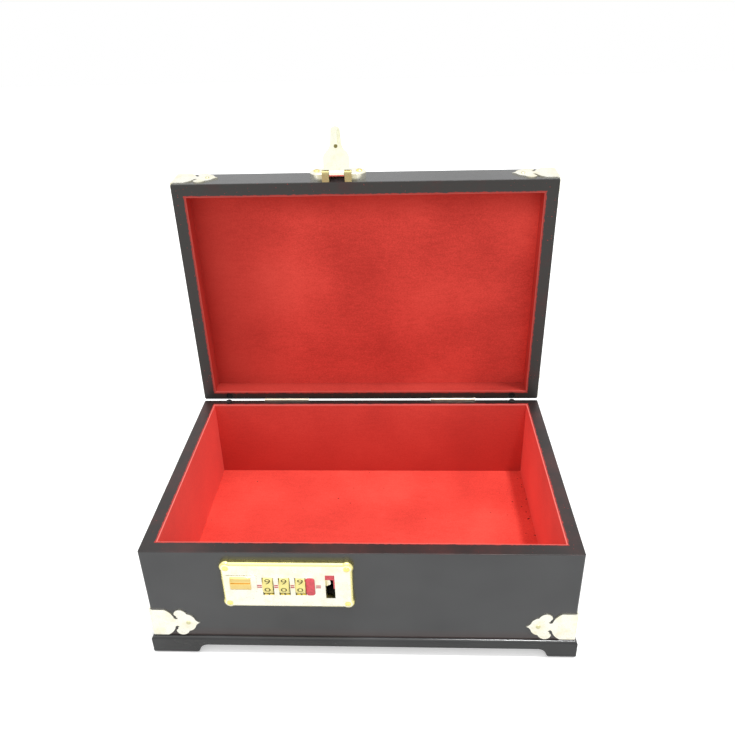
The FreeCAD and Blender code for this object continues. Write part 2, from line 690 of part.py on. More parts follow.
def hinge_leaf(name, middle, up):
    """A leaf on the back below the pin, or above it where up is 1, with its share of the knuckles."""
    length = size("hinge_length")
    edge = size("barrel_radius") + size("barrel_clear")
    count = int(size("knuckle_count"))
    pitch = length / count
    low = HINGE_Z - size("leaf_reach") if up < 0 else HINGE_Z + edge
    solids = [block(name + "_plate", (middle - length / 2, BACK_Y, low), "Sizes.hinge_length",
                    "Sizes.leaf_thick", "Sizes.leaf_reach - Sizes.barrel_radius - Sizes.barrel_clear")]
    knuckle = "Sizes.hinge_length / Sizes.knuckle_count - Sizes.knuckle_gap"
    for number in range(0 if up < 0 else 1, count, 2):
        left = middle - length / 2 + number * pitch + size("knuckle_gap") / 2
        solids.append(block(name + "_tab", (left, BACK_Y, HINGE_Z - edge if up < 0 else HINGE_Z), knuckle,
                            "Sizes.leaf_thick", "Sizes.barrel_radius + Sizes.barrel_clear"))
        solids.append(rod(name + "_knuckle", (left, HINGE_Y, HINGE_Z), "Sizes.barrel_radius", knuckle,
                          ALONG_X))
    tools = [rod(name + "_bore", (middle - length / 2, HINGE_Y, HINGE_Z),
                 "Sizes.hinge_pin_radius + Sizes.pin_fit", "Sizes.hinge_length", ALONG_X)]
    for step in SCREW_STEPS:
        tools.append(hinge_screw_head(name + "_sink", middle + step, up))
    return cut(name, join(name + "_solid", solids), tools)


def hinge_screw_head(name, x, up):
    """The countersunk head of a hinge screw: its wide end is flush with the leaf's outer face."""
    return taper(name, (x, BACK_Y, HINGE_Z + up * SCREW_REACH), "Sizes.hinge_screw_shank",
                 "Sizes.hinge_screw_head", "Sizes.leaf_thick", INTO_FRONT)


def hinge_screw(name, x, up):
    spot = (x, BACK_Y - size("hinge_screw_length"), HINGE_Z + up * SCREW_REACH)
    shank = rod(name + "_shank", spot, "Sizes.hinge_screw_shank", "Sizes.hinge_screw_length", INTO_FRONT)
    return join(name, [hinge_screw_head(name + "_head", x, up), shank])


def hinges():
    pins = []
    for side, middle in zip(("left", "right"), HINGE_X):
        keep(hinge_leaf(f"hinge_{side}_body_leaf", middle, -1), f"hinge_{side}_body_leaf")
        keep(hinge_leaf(f"hinge_{side}_lid_leaf", middle, 1), f"hinge_{side}_lid_leaf", OPEN_LID)
        pins.append(rod("hinge_pin", (middle - size("hinge_length") / 2, HINGE_Y, HINGE_Z),
                        "Sizes.hinge_pin_radius", "Sizes.hinge_length", ALONG_X))
    keep(group("hinge_pins", pins), "hinge_pins")
    spots = [middle + step for middle in HINGE_X for step in SCREW_STEPS]
    keep(group("hinge_body_screws", [hinge_screw("body_screw", x, -1) for x in spots]), "hinge_body_screws")
    keep(group("hinge_lid_screws", [hinge_screw("lid_screw", x, 1) for x in spots]), "hinge_lid_screws",
         OPEN_LID)


def stop_buttons():
    """Two low round buttons on the back rim that stand in the lid's holes."""
    buttons = [rod("stop_button", (side * size("stop_offset"), BACK_Y - size("back_wall") / 2, SEAM_Z),
                   "Sizes.stop_radius", "Sizes.stop_height") for side in (-1, 1)]
    keep(group("stop_buttons", buttons), "stop_buttons")


# Corner brackets: the upper half of a leg's outline, in shares of the leg and of half its height
PETAL = [
    (0.295, 1.0),
    ((0.405, 0.74), (0.470, 0.36)),
    ((0.514, 0.27), (0.552, 0.38)),
    ((0.520, 0.50), (0.482, 0.62)),
    ((0.506, 0.85), (0.601, 0.99)),
    ((0.694, 0.89), (0.752, 0.66)),
    ((0.845, 0.54), (0.902, 0.28)),
    ((0.940, 0.11), (1.0, 0.0)),
]


def bracket_leg(sketch):
    """One leg of a corner bracket: a band, a waist between two eyes, and a scalloped petal."""
    leg = size("bracket_leg")
    half = size("bracket_height") / 2
    thick = size("bracket_thick")
    trace(sketch, (-thick, half), [
        *scaled(PETAL, leg, half),
        *reversed_run(scaled(PETAL, leg, -half), (-thick, -half)),
    ])
    circle(sketch, size("bracket_pin_at"), 0, "Sizes.bracket_pin_shank")


def corner_bracket(label, corner, quarter):
    """A two-legged bracket folded round an upright corner."""
    body = new_body(label, Placement(Vector(*corner), Rotation(Z_AXIS, 90 * quarter)))
    along_front = sketch_on(body, "XZ_Plane")
    bracket_leg(along_front)
    pad(body, along_front, "Sizes.bracket_thick")
    along_side = sketch_on(body, "YZ_Plane")
    bracket_leg(along_side)
    pad(body, along_side, "Sizes.bracket_thick", reverse=True)
    fold = -size("bracket_thick")
    fillet(body, "Sizes.bracket_thick", lambda spot: near(spot.x, fold) and near(spot.y, fold))
    return body


def bracket_pin(name, corner, quarter, front):
    """A round-headed pin through one leg: a low dome outside, a shank in the wood."""
    spot = Vector(size("bracket_pin_at"), -size("bracket_thick"), 0)
    turn = Rotation(X_AXIS, -90)
    if not front:
        spot = Vector(spot.y, spot.x, 0)
        turn = Rotation(Vector(0, 1, 0), 90)
    place = Placement(Vector(*corner), Rotation(Z_AXIS, 90 * quarter)).multiply(Placement(spot, turn))
    shank = rod(name + "_shank", (0, 0, 0), "Sizes.bracket_pin_shank", "Sizes.bracket_pin_length")
    head = taper(name + "_head", (0, 0, -size("bracket_pin_rise")), f"{CROWN} * Sizes.bracket_pin_head",
                 "Sizes.bracket_pin_head", "Sizes.bracket_pin_rise")
    pin = join(name, [shank, head])
    pin.Placement = place
    return pin


def corner_brackets(prefix, height, turn):
    """Four brackets on the upright corners at this height, and the pins that hold them."""
    corners = {"front_left": (-SIDE_X, FRONT_Y), "front_right": (SIDE_X, FRONT_Y),
               "back_right": (SIDE_X, BACK_Y), "back_left": (-SIDE_X, BACK_Y)}
    pins = []
    for quarter, (where, spot) in enumerate(corners.items()):
        corner = (*spot, height)
        label = f"{prefix}_bracket_{where}"
        keep(corner_bracket(label, corner, quarter), label, turn)
        for front in (True, False):
            pins.append(bracket_pin(prefix + "_pin", corner, quarter, front))
    keep(group(prefix + "_bracket_pins", pins), prefix + "_bracket_pins", turn)


# Lock: drawn about the middle of its face plate

def lock_plate():
    """The cast face plate: lobed corners, and windows for the knob, the dials, the button and the hasp."""
    body = new_body("lock_plate", Placement(Vector(LOCK_X, FRONT_Y, LOCK_Z), Rotation()))
    wide, tall = sheet_value(LOCK_WIDTH), size("lock_height")
    face = sketch_on(body, "XZ_Plane")
    rectangle(face, -wide / 2, -tall / 2, LOCK_WIDTH, "Sizes.lock_height")
    pad(body, face, "Sizes.lock_thick")
    fillet(body, "Sizes.lock_corner",
           lambda spot: near(abs(spot.x), wide / 2) and near(abs(spot.z), tall / 2))
    lobes = sketch_on(body, "XZ_Plane")
    spots = [(x - LOCK_X, z - LOCK_Z) for x, z in lock_screw_spots()]
    for x, z in spots:
        circle(lobes, x, z, "Sizes.lock_lobe")
    pad(body, lobes, "Sizes.lock_thick")
    fillet(body, "Sizes.lock_edge", lambda spot: near(spot.y, -size("lock_thick")))
    holes = sketch_on(body, "XZ_Plane")
    for x, z in spots:
        circle(holes, x, z, "Sizes.lock_screw_shank")
    pocket(body, holes, side="Symmetric")
    windows = sketch_on(body, "XZ_Plane")
    play = size("knob_play")
    rectangle(windows, KNOB_X - LOCK_X - size("knob_width") / 2 - play,
              size("knob_up") - size("knob_height") / 2 - play,
              "Sizes.knob_width + Sizes.slide_travel + 2 * Sizes.knob_play",
              "Sizes.knob_height + 2 * Sizes.knob_play")
    dial_low = -size("window_height") / 2
    dial_half = size("dial_width") / 2 + size("window_play")
    for x in DIAL_X[:2]:
        rectangle(windows, x - LOCK_X - dial_half, dial_low, "Sizes.dial_width + 2 * Sizes.window_play",
                  "Sizes.window_height")
    rectangle(windows, DIAL_X[2] - LOCK_X - dial_half, dial_low,
              "Sizes.dial_width + Sizes.window_play + 2 * Sizes.code_gap + Sizes.code_width",
              "Sizes.window_height")
    rectangle(windows, SLOT_X - LOCK_X - size("slot_width") / 2, -size("slot_height") / 2,
              "Sizes.slot_width", "Sizes.slot_height")
    pocket(body, windows, side="Symmetric")
    for x in DIAL_X:
        hollow = sketch_on(body, "YZ_Plane", x - LOCK_X)
        circle(hollow, DIAL_Y - FRONT_Y, 0, "Sizes.dial_radius + Sizes.window_play")
        pocket(body, hollow, "Sizes.dial_width + 2 * Sizes.window_play", side="Symmetric")
    keep(body, "lock_plate")


def lock_case():
    """A shallow tray behind the plate, with two ribs that carry the dials' shaft."""
    low = LOCK_Z - size("case_height") / 2
    wall = size("case_wall")
    outer = block("case_outside", (CASE_X, FRONT_Y, low), CASE_WIDTH, "Sizes.case_depth",
                  "Sizes.case_height")
    inner = block("case_inside", (CASE_X + wall, FRONT_Y, low + wall), CASE_WIDTH + " - 2 * Sizes.case_wall",
                  "Sizes.case_depth - Sizes.case_wall", "Sizes.case_height - 2 * Sizes.case_wall")
    tray = cut("case_tray", outer, [inner])
    behind_comb = "Sizes.comb_gap + Sizes.comb_thick + Sizes.finger_room"
    rib_half = "(Sizes.sleeve_radius + Sizes.dial_radius - Sizes.dial_proud - Sizes.lock_thick"
    rib_y = COMB_BACK + size("finger_room")
    rib_low = LOCK_Z - size("sleeve_radius") - (DIAL_Y - rib_y)
    start = finger_left(DIAL_X[0]) - size("finger_room") - size("rib_thick")
    end = DIAL_X[2] + size("dial_width") / 2 + size("finger_room")
    ribs = [block("case_rib", (x, rib_y, rib_low), "Sizes.rib_thick",
                  f"Sizes.case_depth - ({behind_comb})", f"2 * {rib_half} - ({behind_comb}))")
            for x in (start, end)]
    shaft_length = "3 * Sizes.dial_pitch + Sizes.finger_room + 2 * Sizes.rib_thick"
    bore = rod("case_bore", (start - wall, DIAL_Y, LOCK_Z), "Sizes.shaft_radius",
               shaft_length + " + 2 * Sizes.case_wall", ALONG_X)
    keep(cut("lock_case", join("case_solid", [tray, *ribs]), [bore]), "lock_case")
    shaft = rod("dial_shaft", (start, DIAL_Y, LOCK_Z), "Sizes.shaft_radius", shaft_length, ALONG_X)
    keep(shaft, "dial_shaft")


def finger_left(x):
    """Left side of the comb finger that stands before the dial at x."""
    return x + size("dial_width") / 2 + size("finger_room") - size("dial_pitch")


def dials():
    """Three number dials, each on a sleeve whose flange has a gate for its comb finger."""
    half = size("dial_width") / 2
    radius = size("dial_radius")
    bevel = size("dial_bevel")
    sleeve = size("sleeve_radius")
    for number, x in enumerate(DIAL_X, start=1):
        place = Placement(Vector(x, DIAL_Y, LOCK_Z), Rotation())
        dial = new_body(f"dial_{number}", place)
        half_section = sketch_on(dial, "XY_Plane")
        trace(half_section, (-half, sleeve), [
            (-half, radius - bevel), (bevel - half, radius), (half - bevel, radius),
            (half, radius - bevel), (half, sleeve),
        ])
        revolve(dial, half_section)
        keep(dial, f"dial_{number}")
        cam = new_body(f"cam_sleeve_{number}", place)
        near_side = finger_left(x) + size("finger_thick") + size("finger_room") - x
        far_side = near_side + size("cam_thick")
        bore = size("shaft_radius") + size("pin_fit")
        half_section = sketch_on(cam, "XY_Plane")
        trace(half_section, (near_side, bore), [
            (near_side, size("cam_radius")), (far_side, size("cam_radius")), (far_side, sleeve),
            (half, sleeve), (half, bore),
        ])
        revolve(cam, half_section)
        gate = sketch_on(cam, "YZ_Plane", near_side)
        reach = size("cam_radius") + size("finger_room")
        room = COMB_BACK + size("finger_room") - DIAL_Y
        edge = finger_top() + size("finger_room") - LOCK_Z
        trace(gate, (-reach, -reach), [(room, -reach), (room, edge), (-reach, edge)])
        pocket(cam, gate, "Sizes.cam_thick", reverse=True)
        keep(cam, f"cam_sleeve_{number}")


def finger_top():
    """A finger reaches into the flange's gate and stops short of the sleeve."""
    deep = COMB_BACK - DIAL_Y
    clear = size("sleeve_radius") + size("finger_room") / 2
    return LOCK_Z - math.sqrt(max(clear ** 2 - deep ** 2, 0.0))


# Latch nose: its outline past the slot's left side, in shares of its reach and of half its height
NOSE = [
    (-0.1, 1.0),
    ((0.75, 0.45), (1.0, -0.2)),
    (1.0, -0.6),
    (0.0, -1.0),
]


def latch_comb():
    """The sliding sheet behind the plate: carrier, strip, three fingers, arm and nose."""
    inside = size("case_height") / 2 - size("case_wall")
    room = size("finger_room")
    front = COMB_Y - DIAL_Y
    back = COMB_BACK - DIAL_Y
    ring = math.sqrt(size("dial_radius") ** 2 - min(abs(front), abs(back)) ** 2)
    low = room / 2 - inside
    strip_top = -ring - room
    body = new_body("latch_comb", Placement(Vector(LOCK_X, COMB_BACK, LOCK_Z), Rotation()))
    carrier_left = KNOB_X - LOCK_X - size("knob_width") / 2 + room
    carrier_right = carrier_left + size("knob_width") + room
    slot_left = SLOT_X - LOCK_X - size("slot_width") / 2
    arm_left = CODE_X - LOCK_X + size("code_width") / 2 + 2 * room
    nose = size("nose_height") / 2
    nose_run = scaled(NOSE, size("nose_reach"), nose)
    nose_run = [tuple((x + slot_left, y) for x, y in move) if is_arc(move)
                else (move[0] + slot_left, move[1]) for move in nose_run]
    fingers = []
    for x in DIAL_X:
        left = finger_left(x) - LOCK_X
        right = left + size("finger_thick")
        top = finger_top() - LOCK_Z
        fingers += [(left, strip_top), (left, top), (right, top), (right, strip_top)]
    sheet_face = sketch_on(body, "XZ_Plane")
    trace(sheet_face, (carrier_left, low), [
        (carrier_left, size("knob_up") + size("knob_height") / 2),
        (carrier_right, size("knob_up") + size("knob_height") / 2),
        (carrier_right, strip_top),
        *fingers,
        (arm_left, strip_top),
        (arm_left, nose),
        *nose_run,
        (slot_left, low),
    ])
    pad(body, sheet_face, "Sizes.comb_thick")
    keep(body, "latch_comb")


def release_knob():
    """A faceted block that stands through its window, on the comb's carrier."""
    spot = Vector(KNOB_X, FRONT_Y, LOCK_Z + size("knob_up"))
    body = new_body("release_knob", Placement(spot, Rotation()))
    half = size("knob_height") / 2
    crest = half - size("knob_facet") * KNOB_SLOPE
    root = size("comb_gap")
    front = -size("lock_thick") - size("knob_proud")
    facet = front + size("knob_facet")
    section = sketch_on(body, "YZ_Plane")
    trace(section, (root, -half), [
        (root, half), (facet, half), (front, crest), (front, -crest), (facet, -half),
    ])
    pad(body, section, "Sizes.knob_width", side="Symmetric")
    fillet(body, "Sizes.knob_round", lambda spot: spot.y < facet + size("knob_round"))
    keep(body, "release_knob")


def code_button():
    """The red button beside the last dial, kept in by its two lips."""
    spot = Vector(CODE_X, FRONT_Y, LOCK_Z)
    body = new_body("code_button", Placement(spot, Rotation()))
    wide, tall = size("code_width"), size("code_height")
    lip = size("code_lip")
    stand_off = size("code_rest")
    head = sketch_on(body, "XZ_Plane", -stand_off)
    rectangle(head, -wide / 2, -tall / 2, "Sizes.code_width", "Sizes.code_height")
    pad(body, head, "Sizes.code_rest + Sizes.lock_thick + Sizes.code_proud")
    front = -size("lock_thick") - size("code_proud")
    fillet(body, "Sizes.code_round", lambda spot: near(spot.y, front))
    lips = sketch_on(body, "XZ_Plane", -stand_off)
    rectangle(lips, -wide / 2, -tall / 2 - lip, "Sizes.code_width", "Sizes.code_height + 2 * Sizes.code_lip")
    pad(body, lips, "Sizes.code_lip_thick", reverse=True)
    keep(body, "code_button")


def lock_screws():
    screws = []
    for x, z in lock_screw_spots():
        shank = rod("lock_screw_shank", (x, PLATE_Y, z), "Sizes.lock_screw_shank",
                    "Sizes.lock_screw_length + Sizes.lock_thick", INTO_FRONT)
        head = taper("lock_screw_head", (x, PLATE_Y - size("lock_screw_crown"), z),
                     f"{CROWN} * Sizes.lock_screw_head", "Sizes.lock_screw_head",
                     "Sizes.lock_screw_crown", INTO_FRONT)
        screws.append(join("lock_screw", [shank, head]))
    keep(group("lock_screws", screws), "lock_screws")


# Hasp: its base is on the lid, its flap closes over the lock
HASP_X = SLOT_X
HASP_LOW = HASP_Z + size("hasp_barrel") + size("hasp_gap")
HASP_SCREW_Z = HASP_LOW + size("hasp_height") / 2
HASP_SCREW_X = (HASP_X - size("hasp_screw_run"), HASP_X + size("hasp_screw_run"))


def hasp_base():
    """A rounded base, notched between two lugs that carry the hasp pin."""
    body = new_body("hasp_base", Placement(Vector(HASP_X, FRONT_Y, HASP_Z), Rotation()))
    half = size("hasp_width") / 2
    low = HASP_LOW - HASP_Z
    tall = size("hasp_height")
    ear = tall / 2
    face = sketch_on(body, "XZ_Plane")
    trace(face, (ear - half, low), [
        (half - ear, low),
        ((half, low + ear), (half - ear, low + tall)),
        (ear - half, low + tall),
        ((-half, low + ear), (ear - half, low)),
    ])
    pad(body, face, "Sizes.hasp_thick")
    fillet(body, "Sizes.hasp_edge", lambda spot: near(spot.y, -size("hasp_thick")))
    inner = size("hasp_knuckle") / 2 + size("hasp_gap")
    barrel = size("hasp_barrel")
    for hand in (-1, 1):
        middle = hand * (inner + size("hasp_lug") / 2)
        web = sketch_on(body, "YZ_Plane", middle)
        out = -size("hasp_out")
        trace(web, (0, -barrel / 2), [
            (out, -barrel),
            ((out - barrel, 0), (out, barrel)),
            (0, low + barrel),
        ])
        pad(body, web, "Sizes.hasp_lug", side="Symmetric")
    notch = sketch_on(body, "XZ_Plane")
    rectangle(notch, -inner, low, "Sizes.hasp_knuckle + 2 * Sizes.hasp_gap", "Sizes.hasp_notch")
    pocket(body, notch, side="Symmetric")
    bore = sketch_on(body, "YZ_Plane")
    circle(bore, -size("hasp_out"), 0, "Sizes.hasp_pin_radius")
    pocket(body, bore, side="Symmetric")
    holes = sketch_on(body, "XZ_Plane")
    for hand in (-1, 1):
        circle(holes, hand * size("hasp_screw_run"), HASP_SCREW_Z - HASP_Z, "Sizes.hasp_screw_shank")
    pocket(body, holes, side="Symmetric")
    keep(body, "hasp_base", OPEN_LID)
    pin = rod("hasp_pin", (HASP_X - inner - size("hasp_lug"), HASP_Y, HASP_Z), "Sizes.hasp_pin_radius",
              "Sizes.hasp_knuckle + 2 * Sizes.hasp_lug + 2 * Sizes.hasp_gap", ALONG_X)
    keep(pin, "hasp_pin", OPEN_LID)


def hasp_screws():
    face = FRONT_Y - size("hasp_thick")
    screws = []
    for x in HASP_SCREW_X:
        shank = rod("hasp_screw_shank", (x, face, HASP_SCREW_Z), "Sizes.hasp_screw_shank",
                    "Sizes.hasp_screw_length + Sizes.hasp_thick", INTO_FRONT)
        head = taper("hasp_screw_head", (x, face - size("hasp_screw_rise"), HASP_SCREW_Z),
                     f"{CROWN} * Sizes.hasp_screw_head", "Sizes.hasp_screw_head",
                     "Sizes.hasp_screw_rise", INTO_FRONT)
        screws.append(join("hasp_screw", [shank, head]))
    keep(group("hasp_screws", screws), "hasp_screws", OPEN_LID)


# Hasp flap: half of its outline below the knuckle, in shares of half its width and of its length
FLAP_SIDE = [
    (1.0, 0.30),
    ((0.94, 0.40), (0.76, 0.47)),
    ((0.53, 0.55), (0.42, 0.68)),
    (0.36, 0.90),
    ((0.25, 0.972), (0.0, 1.0)),
]


def hasp_flap():
    """A leaf-shaped flap on its knuckle, with a tongue whose eye takes the latch nose."""
    body = new_body("hasp_flap", Placement(Vector(HASP_X, HASP_Y, HASP_Z), Rotation()))
    barrel = size("hasp_barrel")
    half = size("flap_width") / 2
    knuckle = size("hasp_knuckle") / 2
    long = size("flap_length")
    inner = PLATE_Y - size("flap_clear") - HASP_Y
    roll = sketch_on(body, "YZ_Plane")
    circle(roll, 0, 0, "Sizes.hasp_barrel")
    pad(body, roll, "Sizes.hasp_knuckle", side="Symmetric")
    leaf = sketch_on(body, "XZ_Plane", -inner)
    shoulder = -barrel - size("hasp_gap")
    trace(leaf, (-knuckle, 0), [
        (knuckle, 0),
        (knuckle, shoulder),
        (half, shoulder),
        *scaled(FLAP_SIDE, half, -long),
        *reversed_run(scaled(FLAP_SIDE, -half, -long), (-half, shoulder)),
        (-knuckle, shoulder),
    ])
    pad(body, leaf, "Sizes.flap_thick")
    front = inner - size("flap_thick")
    fillet(body, "Sizes.flap_round", lambda spot: near(spot.y, front) and spot.z < shoulder)
    bore = sketch_on(body, "YZ_Plane")
    circle(bore, 0, 0, "Sizes.hasp_pin_radius + Sizes.pin_fit")
    pocket(body, bore, "Sizes.hasp_knuckle", side="Symmetric")
    tongue_x = size("nose_reach") - size("slot_width") / 2 + size("finger_room") + size("tongue_thick") / 2
    middle = LOCK_Z - HASP_Z
    tongue = sketch_on(body, "YZ_Plane", tongue_x)
    rectangle(tongue, inner, middle - size("tongue_height") / 2, "Sizes.tongue_reach", "Sizes.tongue_height")
    pad(body, tongue, "Sizes.tongue_thick", side="Symmetric")
    eye = sketch_on(body, "YZ_Plane", tongue_x)
    rectangle(eye, COMB_Y - size("eye_room") - HASP_Y, middle - size("nose_height") / 2 - size("eye_room"),
              "Sizes.comb_thick + 2 * Sizes.eye_room", "Sizes.nose_height + 2 * Sizes.eye_room")
    pocket(body, eye, "2 * Sizes.tongue_thick", side="Symmetric")
    keep(body, "hasp_flap", OPEN_LID.multiply(OPEN_FLAP))


def centre_on_floor():
    """Move every piece so that the origin is the middle of the floor under the open box."""
    doc.recompute()
    whole = FreeCAD.BoundBox()
    for item in pieces:
        whole.add(item.Shape.BoundBox)
    move = Placement(Vector(-whole.Center.x, -whole.Center.y, 0), Rotation())
    for item in pieces:
        item.Placement = move.multiply(item.Placement)


def write_parts():
    """Check every object and every piece, then write each piece under its name."""
    doc.recompute()
    failed = [item.Label for item in doc.Objects if {"Invalid", "Error"} & set(item.State)]
    failed += [item.Label for item in pieces if item.Shape.isNull() or not item.Shape.isValid()]
    if failed:
        raise RuntimeError("failed: " + ", ".join(failed))
    os.makedirs("parts", exist_ok=True)
    for item in pieces:
        item.Shape.exportStep(f"parts/{item.Label}.step")
    print(len(pieces), "pieces written")


carcass_boards()
bottom_panel()
plinth_rails()
linings()
lid_frame()
lid_linings()
hinges()
stop_buttons()
corner_brackets("lower", LOWER_BRACKET_Z, Placement())
corner_brackets("upper", UPPER_BRACKET_Z, OPEN_LID)
lock_plate()
lock_case()
dials()
latch_comb()
release_knob()
code_button()
lock_screws()
hasp_base()
hasp_screws()
hasp_flap()
centre_on_floor()
write_parts()
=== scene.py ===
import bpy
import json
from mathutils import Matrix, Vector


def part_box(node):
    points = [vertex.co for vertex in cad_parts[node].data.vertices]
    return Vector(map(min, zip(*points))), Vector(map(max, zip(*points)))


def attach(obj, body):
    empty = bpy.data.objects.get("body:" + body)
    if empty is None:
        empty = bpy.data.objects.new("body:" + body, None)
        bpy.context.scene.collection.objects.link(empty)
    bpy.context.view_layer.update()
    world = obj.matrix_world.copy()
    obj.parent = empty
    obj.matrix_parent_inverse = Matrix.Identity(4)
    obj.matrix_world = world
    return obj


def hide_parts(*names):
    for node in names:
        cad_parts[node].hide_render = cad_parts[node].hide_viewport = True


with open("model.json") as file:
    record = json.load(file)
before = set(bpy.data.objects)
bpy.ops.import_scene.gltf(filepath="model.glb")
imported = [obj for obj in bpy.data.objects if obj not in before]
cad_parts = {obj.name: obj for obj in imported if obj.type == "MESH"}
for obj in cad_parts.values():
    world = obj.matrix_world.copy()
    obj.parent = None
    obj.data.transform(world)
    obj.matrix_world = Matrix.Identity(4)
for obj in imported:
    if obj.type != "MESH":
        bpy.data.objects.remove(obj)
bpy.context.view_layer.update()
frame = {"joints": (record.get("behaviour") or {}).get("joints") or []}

import json
import math

import bpy
from mathutils import Matrix, Vector

bl_info = {
    "name": "Lacquered Money Box",
    "version": (1, 0, 0),
    "blender": (4, 5, 0),
    "location": "View3D > Sidebar > Money Box",
    "description": "Finishes and fine pieces for a lacquered wooden money box with a dial lock",
    "category": "Object",
}

MM = 0.001
moved = Matrix.Translation
WHITE = (1.0, 1.0, 1.0, 1.0)

# Where the box is, read from its solids
JOINTS = {joint["name"]: joint for joint in frame["joints"]}
FRONT_LOW, FRONT_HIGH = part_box("front_panel")
BACK_LOW, BACK_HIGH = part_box("back_panel")
FRONT_Y = FRONT_LOW.y
BACK_Y = BACK_HIGH.y
SIDE_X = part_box("right_end")[1].x
SEAM_Z = FRONT_HIGH.z
FLOOR_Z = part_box("floor_lining")[1].z
WELL_FRONT = FRONT_HIGH.y
WELL_SIDE = SIDE_X - (WELL_FRONT - FRONT_Y)
WELL_MIDDLE = (WELL_FRONT + BACK_LOW.y) / 2
WELL_REACH = (BACK_LOW.y - WELL_FRONT) / 2

# The lid: its hinge, how far it stands open, and when closed its rim above the seam and its rails' height
HINGE = Vector(JOINTS["lid_hinge"]["pos_m"])
OPENING = math.radians(JOINTS["lid_hinge"]["range_deg"][1])
OPEN_LID = moved(HINGE) @ Matrix.Rotation(-OPENING, 4, "X") @ moved(-HINGE)
RIM_GAP = 0.3 * MM
LID_HEIGHT = 28.0 * MM
LID_Z = SEAM_Z + RIM_GAP

# The lock and the hasp
PLATE_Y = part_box("lock_plate")[0].y
LOCK_Z = JOINTS["dial_1_turn"]["pos_m"][2]
HASP_PIVOT = Vector(JOINTS["hasp_pivot"]["pos_m"])
HASP_FOLD = math.radians(JOINTS["hasp_pivot"]["range_deg"][1])
HASP_THICK = 5.4 * MM

# The corner brackets: their sizes, where along a leg its pin sits, and the height of their middles
BRACKET_THICK = 0.9 * MM
BRACKET_HEIGHT = 24.4 * MM
BRACKET_DROP = 0.6 * MM
BRACKET_PIN_AT = 26.2 * MM
LOWER_BRACKET_Z = sum(corner.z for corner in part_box("lower_bracket_front_left")) / 2
UPPER_BRACKET_Z = LID_Z + LID_HEIGHT - BRACKET_DROP - BRACKET_HEIGHT / 2


# Properties

def linear(hex_colour):
    """An sRGB hex colour as linear red, green, blue and alpha."""
    parts = [int(hex_colour[index:index + 2], 16) / 255 for index in (1, 3, 5)]
    return tuple(p / 12.92 if p <= 0.04045 else ((p + 0.055) / 1.055) ** 2.4 for p in parts) + (1.0,)


def colour(name, description, default):
    """A property that holds a colour."""
    return bpy.props.FloatVectorProperty(name=name, description=description, default=linear(default),
                                         subtype="COLOR", size=4, min=0.0, max=1.0)


def length(name, description, millimetres):
    """A property that holds a length."""
    return bpy.props.FloatProperty(name=name, description=description, default=millimetres * MM,
                                   unit="LENGTH", subtype="DISTANCE", min=0.0, precision=5)


def angle(name, description, degrees):
    """A property that holds an angle."""
    return bpy.props.FloatProperty(name=name, description=description, default=math.radians(degrees),
                                   unit="ROTATION", subtype="ANGLE")


def brightness(name, description, default):
    """A property that holds the strength of a light."""
    return bpy.props.FloatProperty(name=name, description=description, default=default, min=0.0)


class BoxColours(bpy.types.PropertyGroup):
    """Colours of the box's finishes."""
    lacquer: colour("Lacquer", "Black lacquer of the boards", "#474849")
    # Painted reflection: the brown band drawn along the foot of the boards
    lacquer_worn: colour("Worn lacquer", "Brown that shows through along the foot", "#4d3b38")
    # Painted shade: the rims are drawn darker than the boards
    rim_dark: colour("Rim", "Dark lacquer of the rims", "#221d1c")
    lid_rim: colour("Lid rim", "Dark lacquer of the lid's rim, less rubbed", "#2c2b28")
    rim_brown: colour("Rim haze", "Reddish brown haze on the rims", "#3c2220")
    flock: colour("Flock", "Red flock inside the box", "#e64c41")
    flock_dark: colour("Flock shade", "Red flock where it lies flat or thin", "#c93c33")
    flock_light: colour("Flock light", "Red flock where it stands up", "#f55a4d")
    # Also the pale tone that whole linings are drawn towards as painted light
    flock_edge: colour("Flock edge", "Pale dusty edge of the flock along the rim", "#f28f86")
    crumb: colour("Crumb", "Dark crumbs on the floor of the box", "#3a1412")
    brass: colour("Brass", "Polished brass of the lock, hasp and brackets", "#fffdf0")
    # Painted reflection: deeper gold drawn on the lock plate's edges, also used for its screws
    edge_gold: colour("Edge gold", "Deeper gold on the edges of the lock plate and its screws", "#fdf2a4")
    pin: colour("Pins", "Slightly tarnished brass of the brackets' pins", "#e2dfb6")
    flap: colour("Flap", "Greenish brass of the hasp's flap", "#feffec")
    # Painted shade: tan drawn on the lower part of the hasp's lugs
    lug: colour("Lugs", "Tarnished brass of the hasp's lugs", "#b9ad7c")
    shadow_brass: colour("Dark brass", "Tarnished brass of the hasp's rivet", "#8a8455")
    # Painted shade: the dark strip under the hasp's knuckle
    bed: colour("Hasp bed", "Dark stained wood under the hasp's knuckle", "#2b1210")
    gold: colour("Knob", "Gold of the release knob", "#f3d68c")
    dial: colour("Dial", "Yellow brass of the number dials", "#f9eda0")
    numeral: colour("Numeral", "Filled numerals on the dials", "#625a2c")
    enamel: colour("Index enamel", "Red index lines on the lock plate", "#c8304c")
    button: colour("Setting button", "Red plastic button", "#ea5560")
    nickel: colour("Nickel", "Plated hinge steel", "#ecdfca")


class BoxSizes(bpy.types.PropertyGroup):
    """Sizes of fine pieces."""
    numeral_height: length("Numeral height", "Height of a numeral on a dial", 3.6)
    numeral_proud: length("Numeral proud", "How far a numeral's fill stands out of its dial", 0.05)
    numeral_depth: length("Numeral depth", "How deep a numeral's fill goes into its dial", 0.3)
    index_bar: length("Index bar", "Height of one index line", 0.8)
    index_gap: length("Index gap", "Distance between the middles of the two index lines", 1.6)
    index_proud: length("Index proud", "Thickness of the index enamel", 0.12)
    relief_rise: length("Relief", "Height of the raised veins on a corner bracket", 0.09)
    dome_radius: length("Pin radius", "Radius of a bracket pin's round head", 1.7)
    dome_rise: length("Pin rise", "Height of a bracket pin's round head", 0.8)
    pin_shank: length("Pin shank", "Radius of a bracket pin's shank", 0.7)
    pin_length: length("Pin length", "Length of a bracket pin's shank", 6.0)


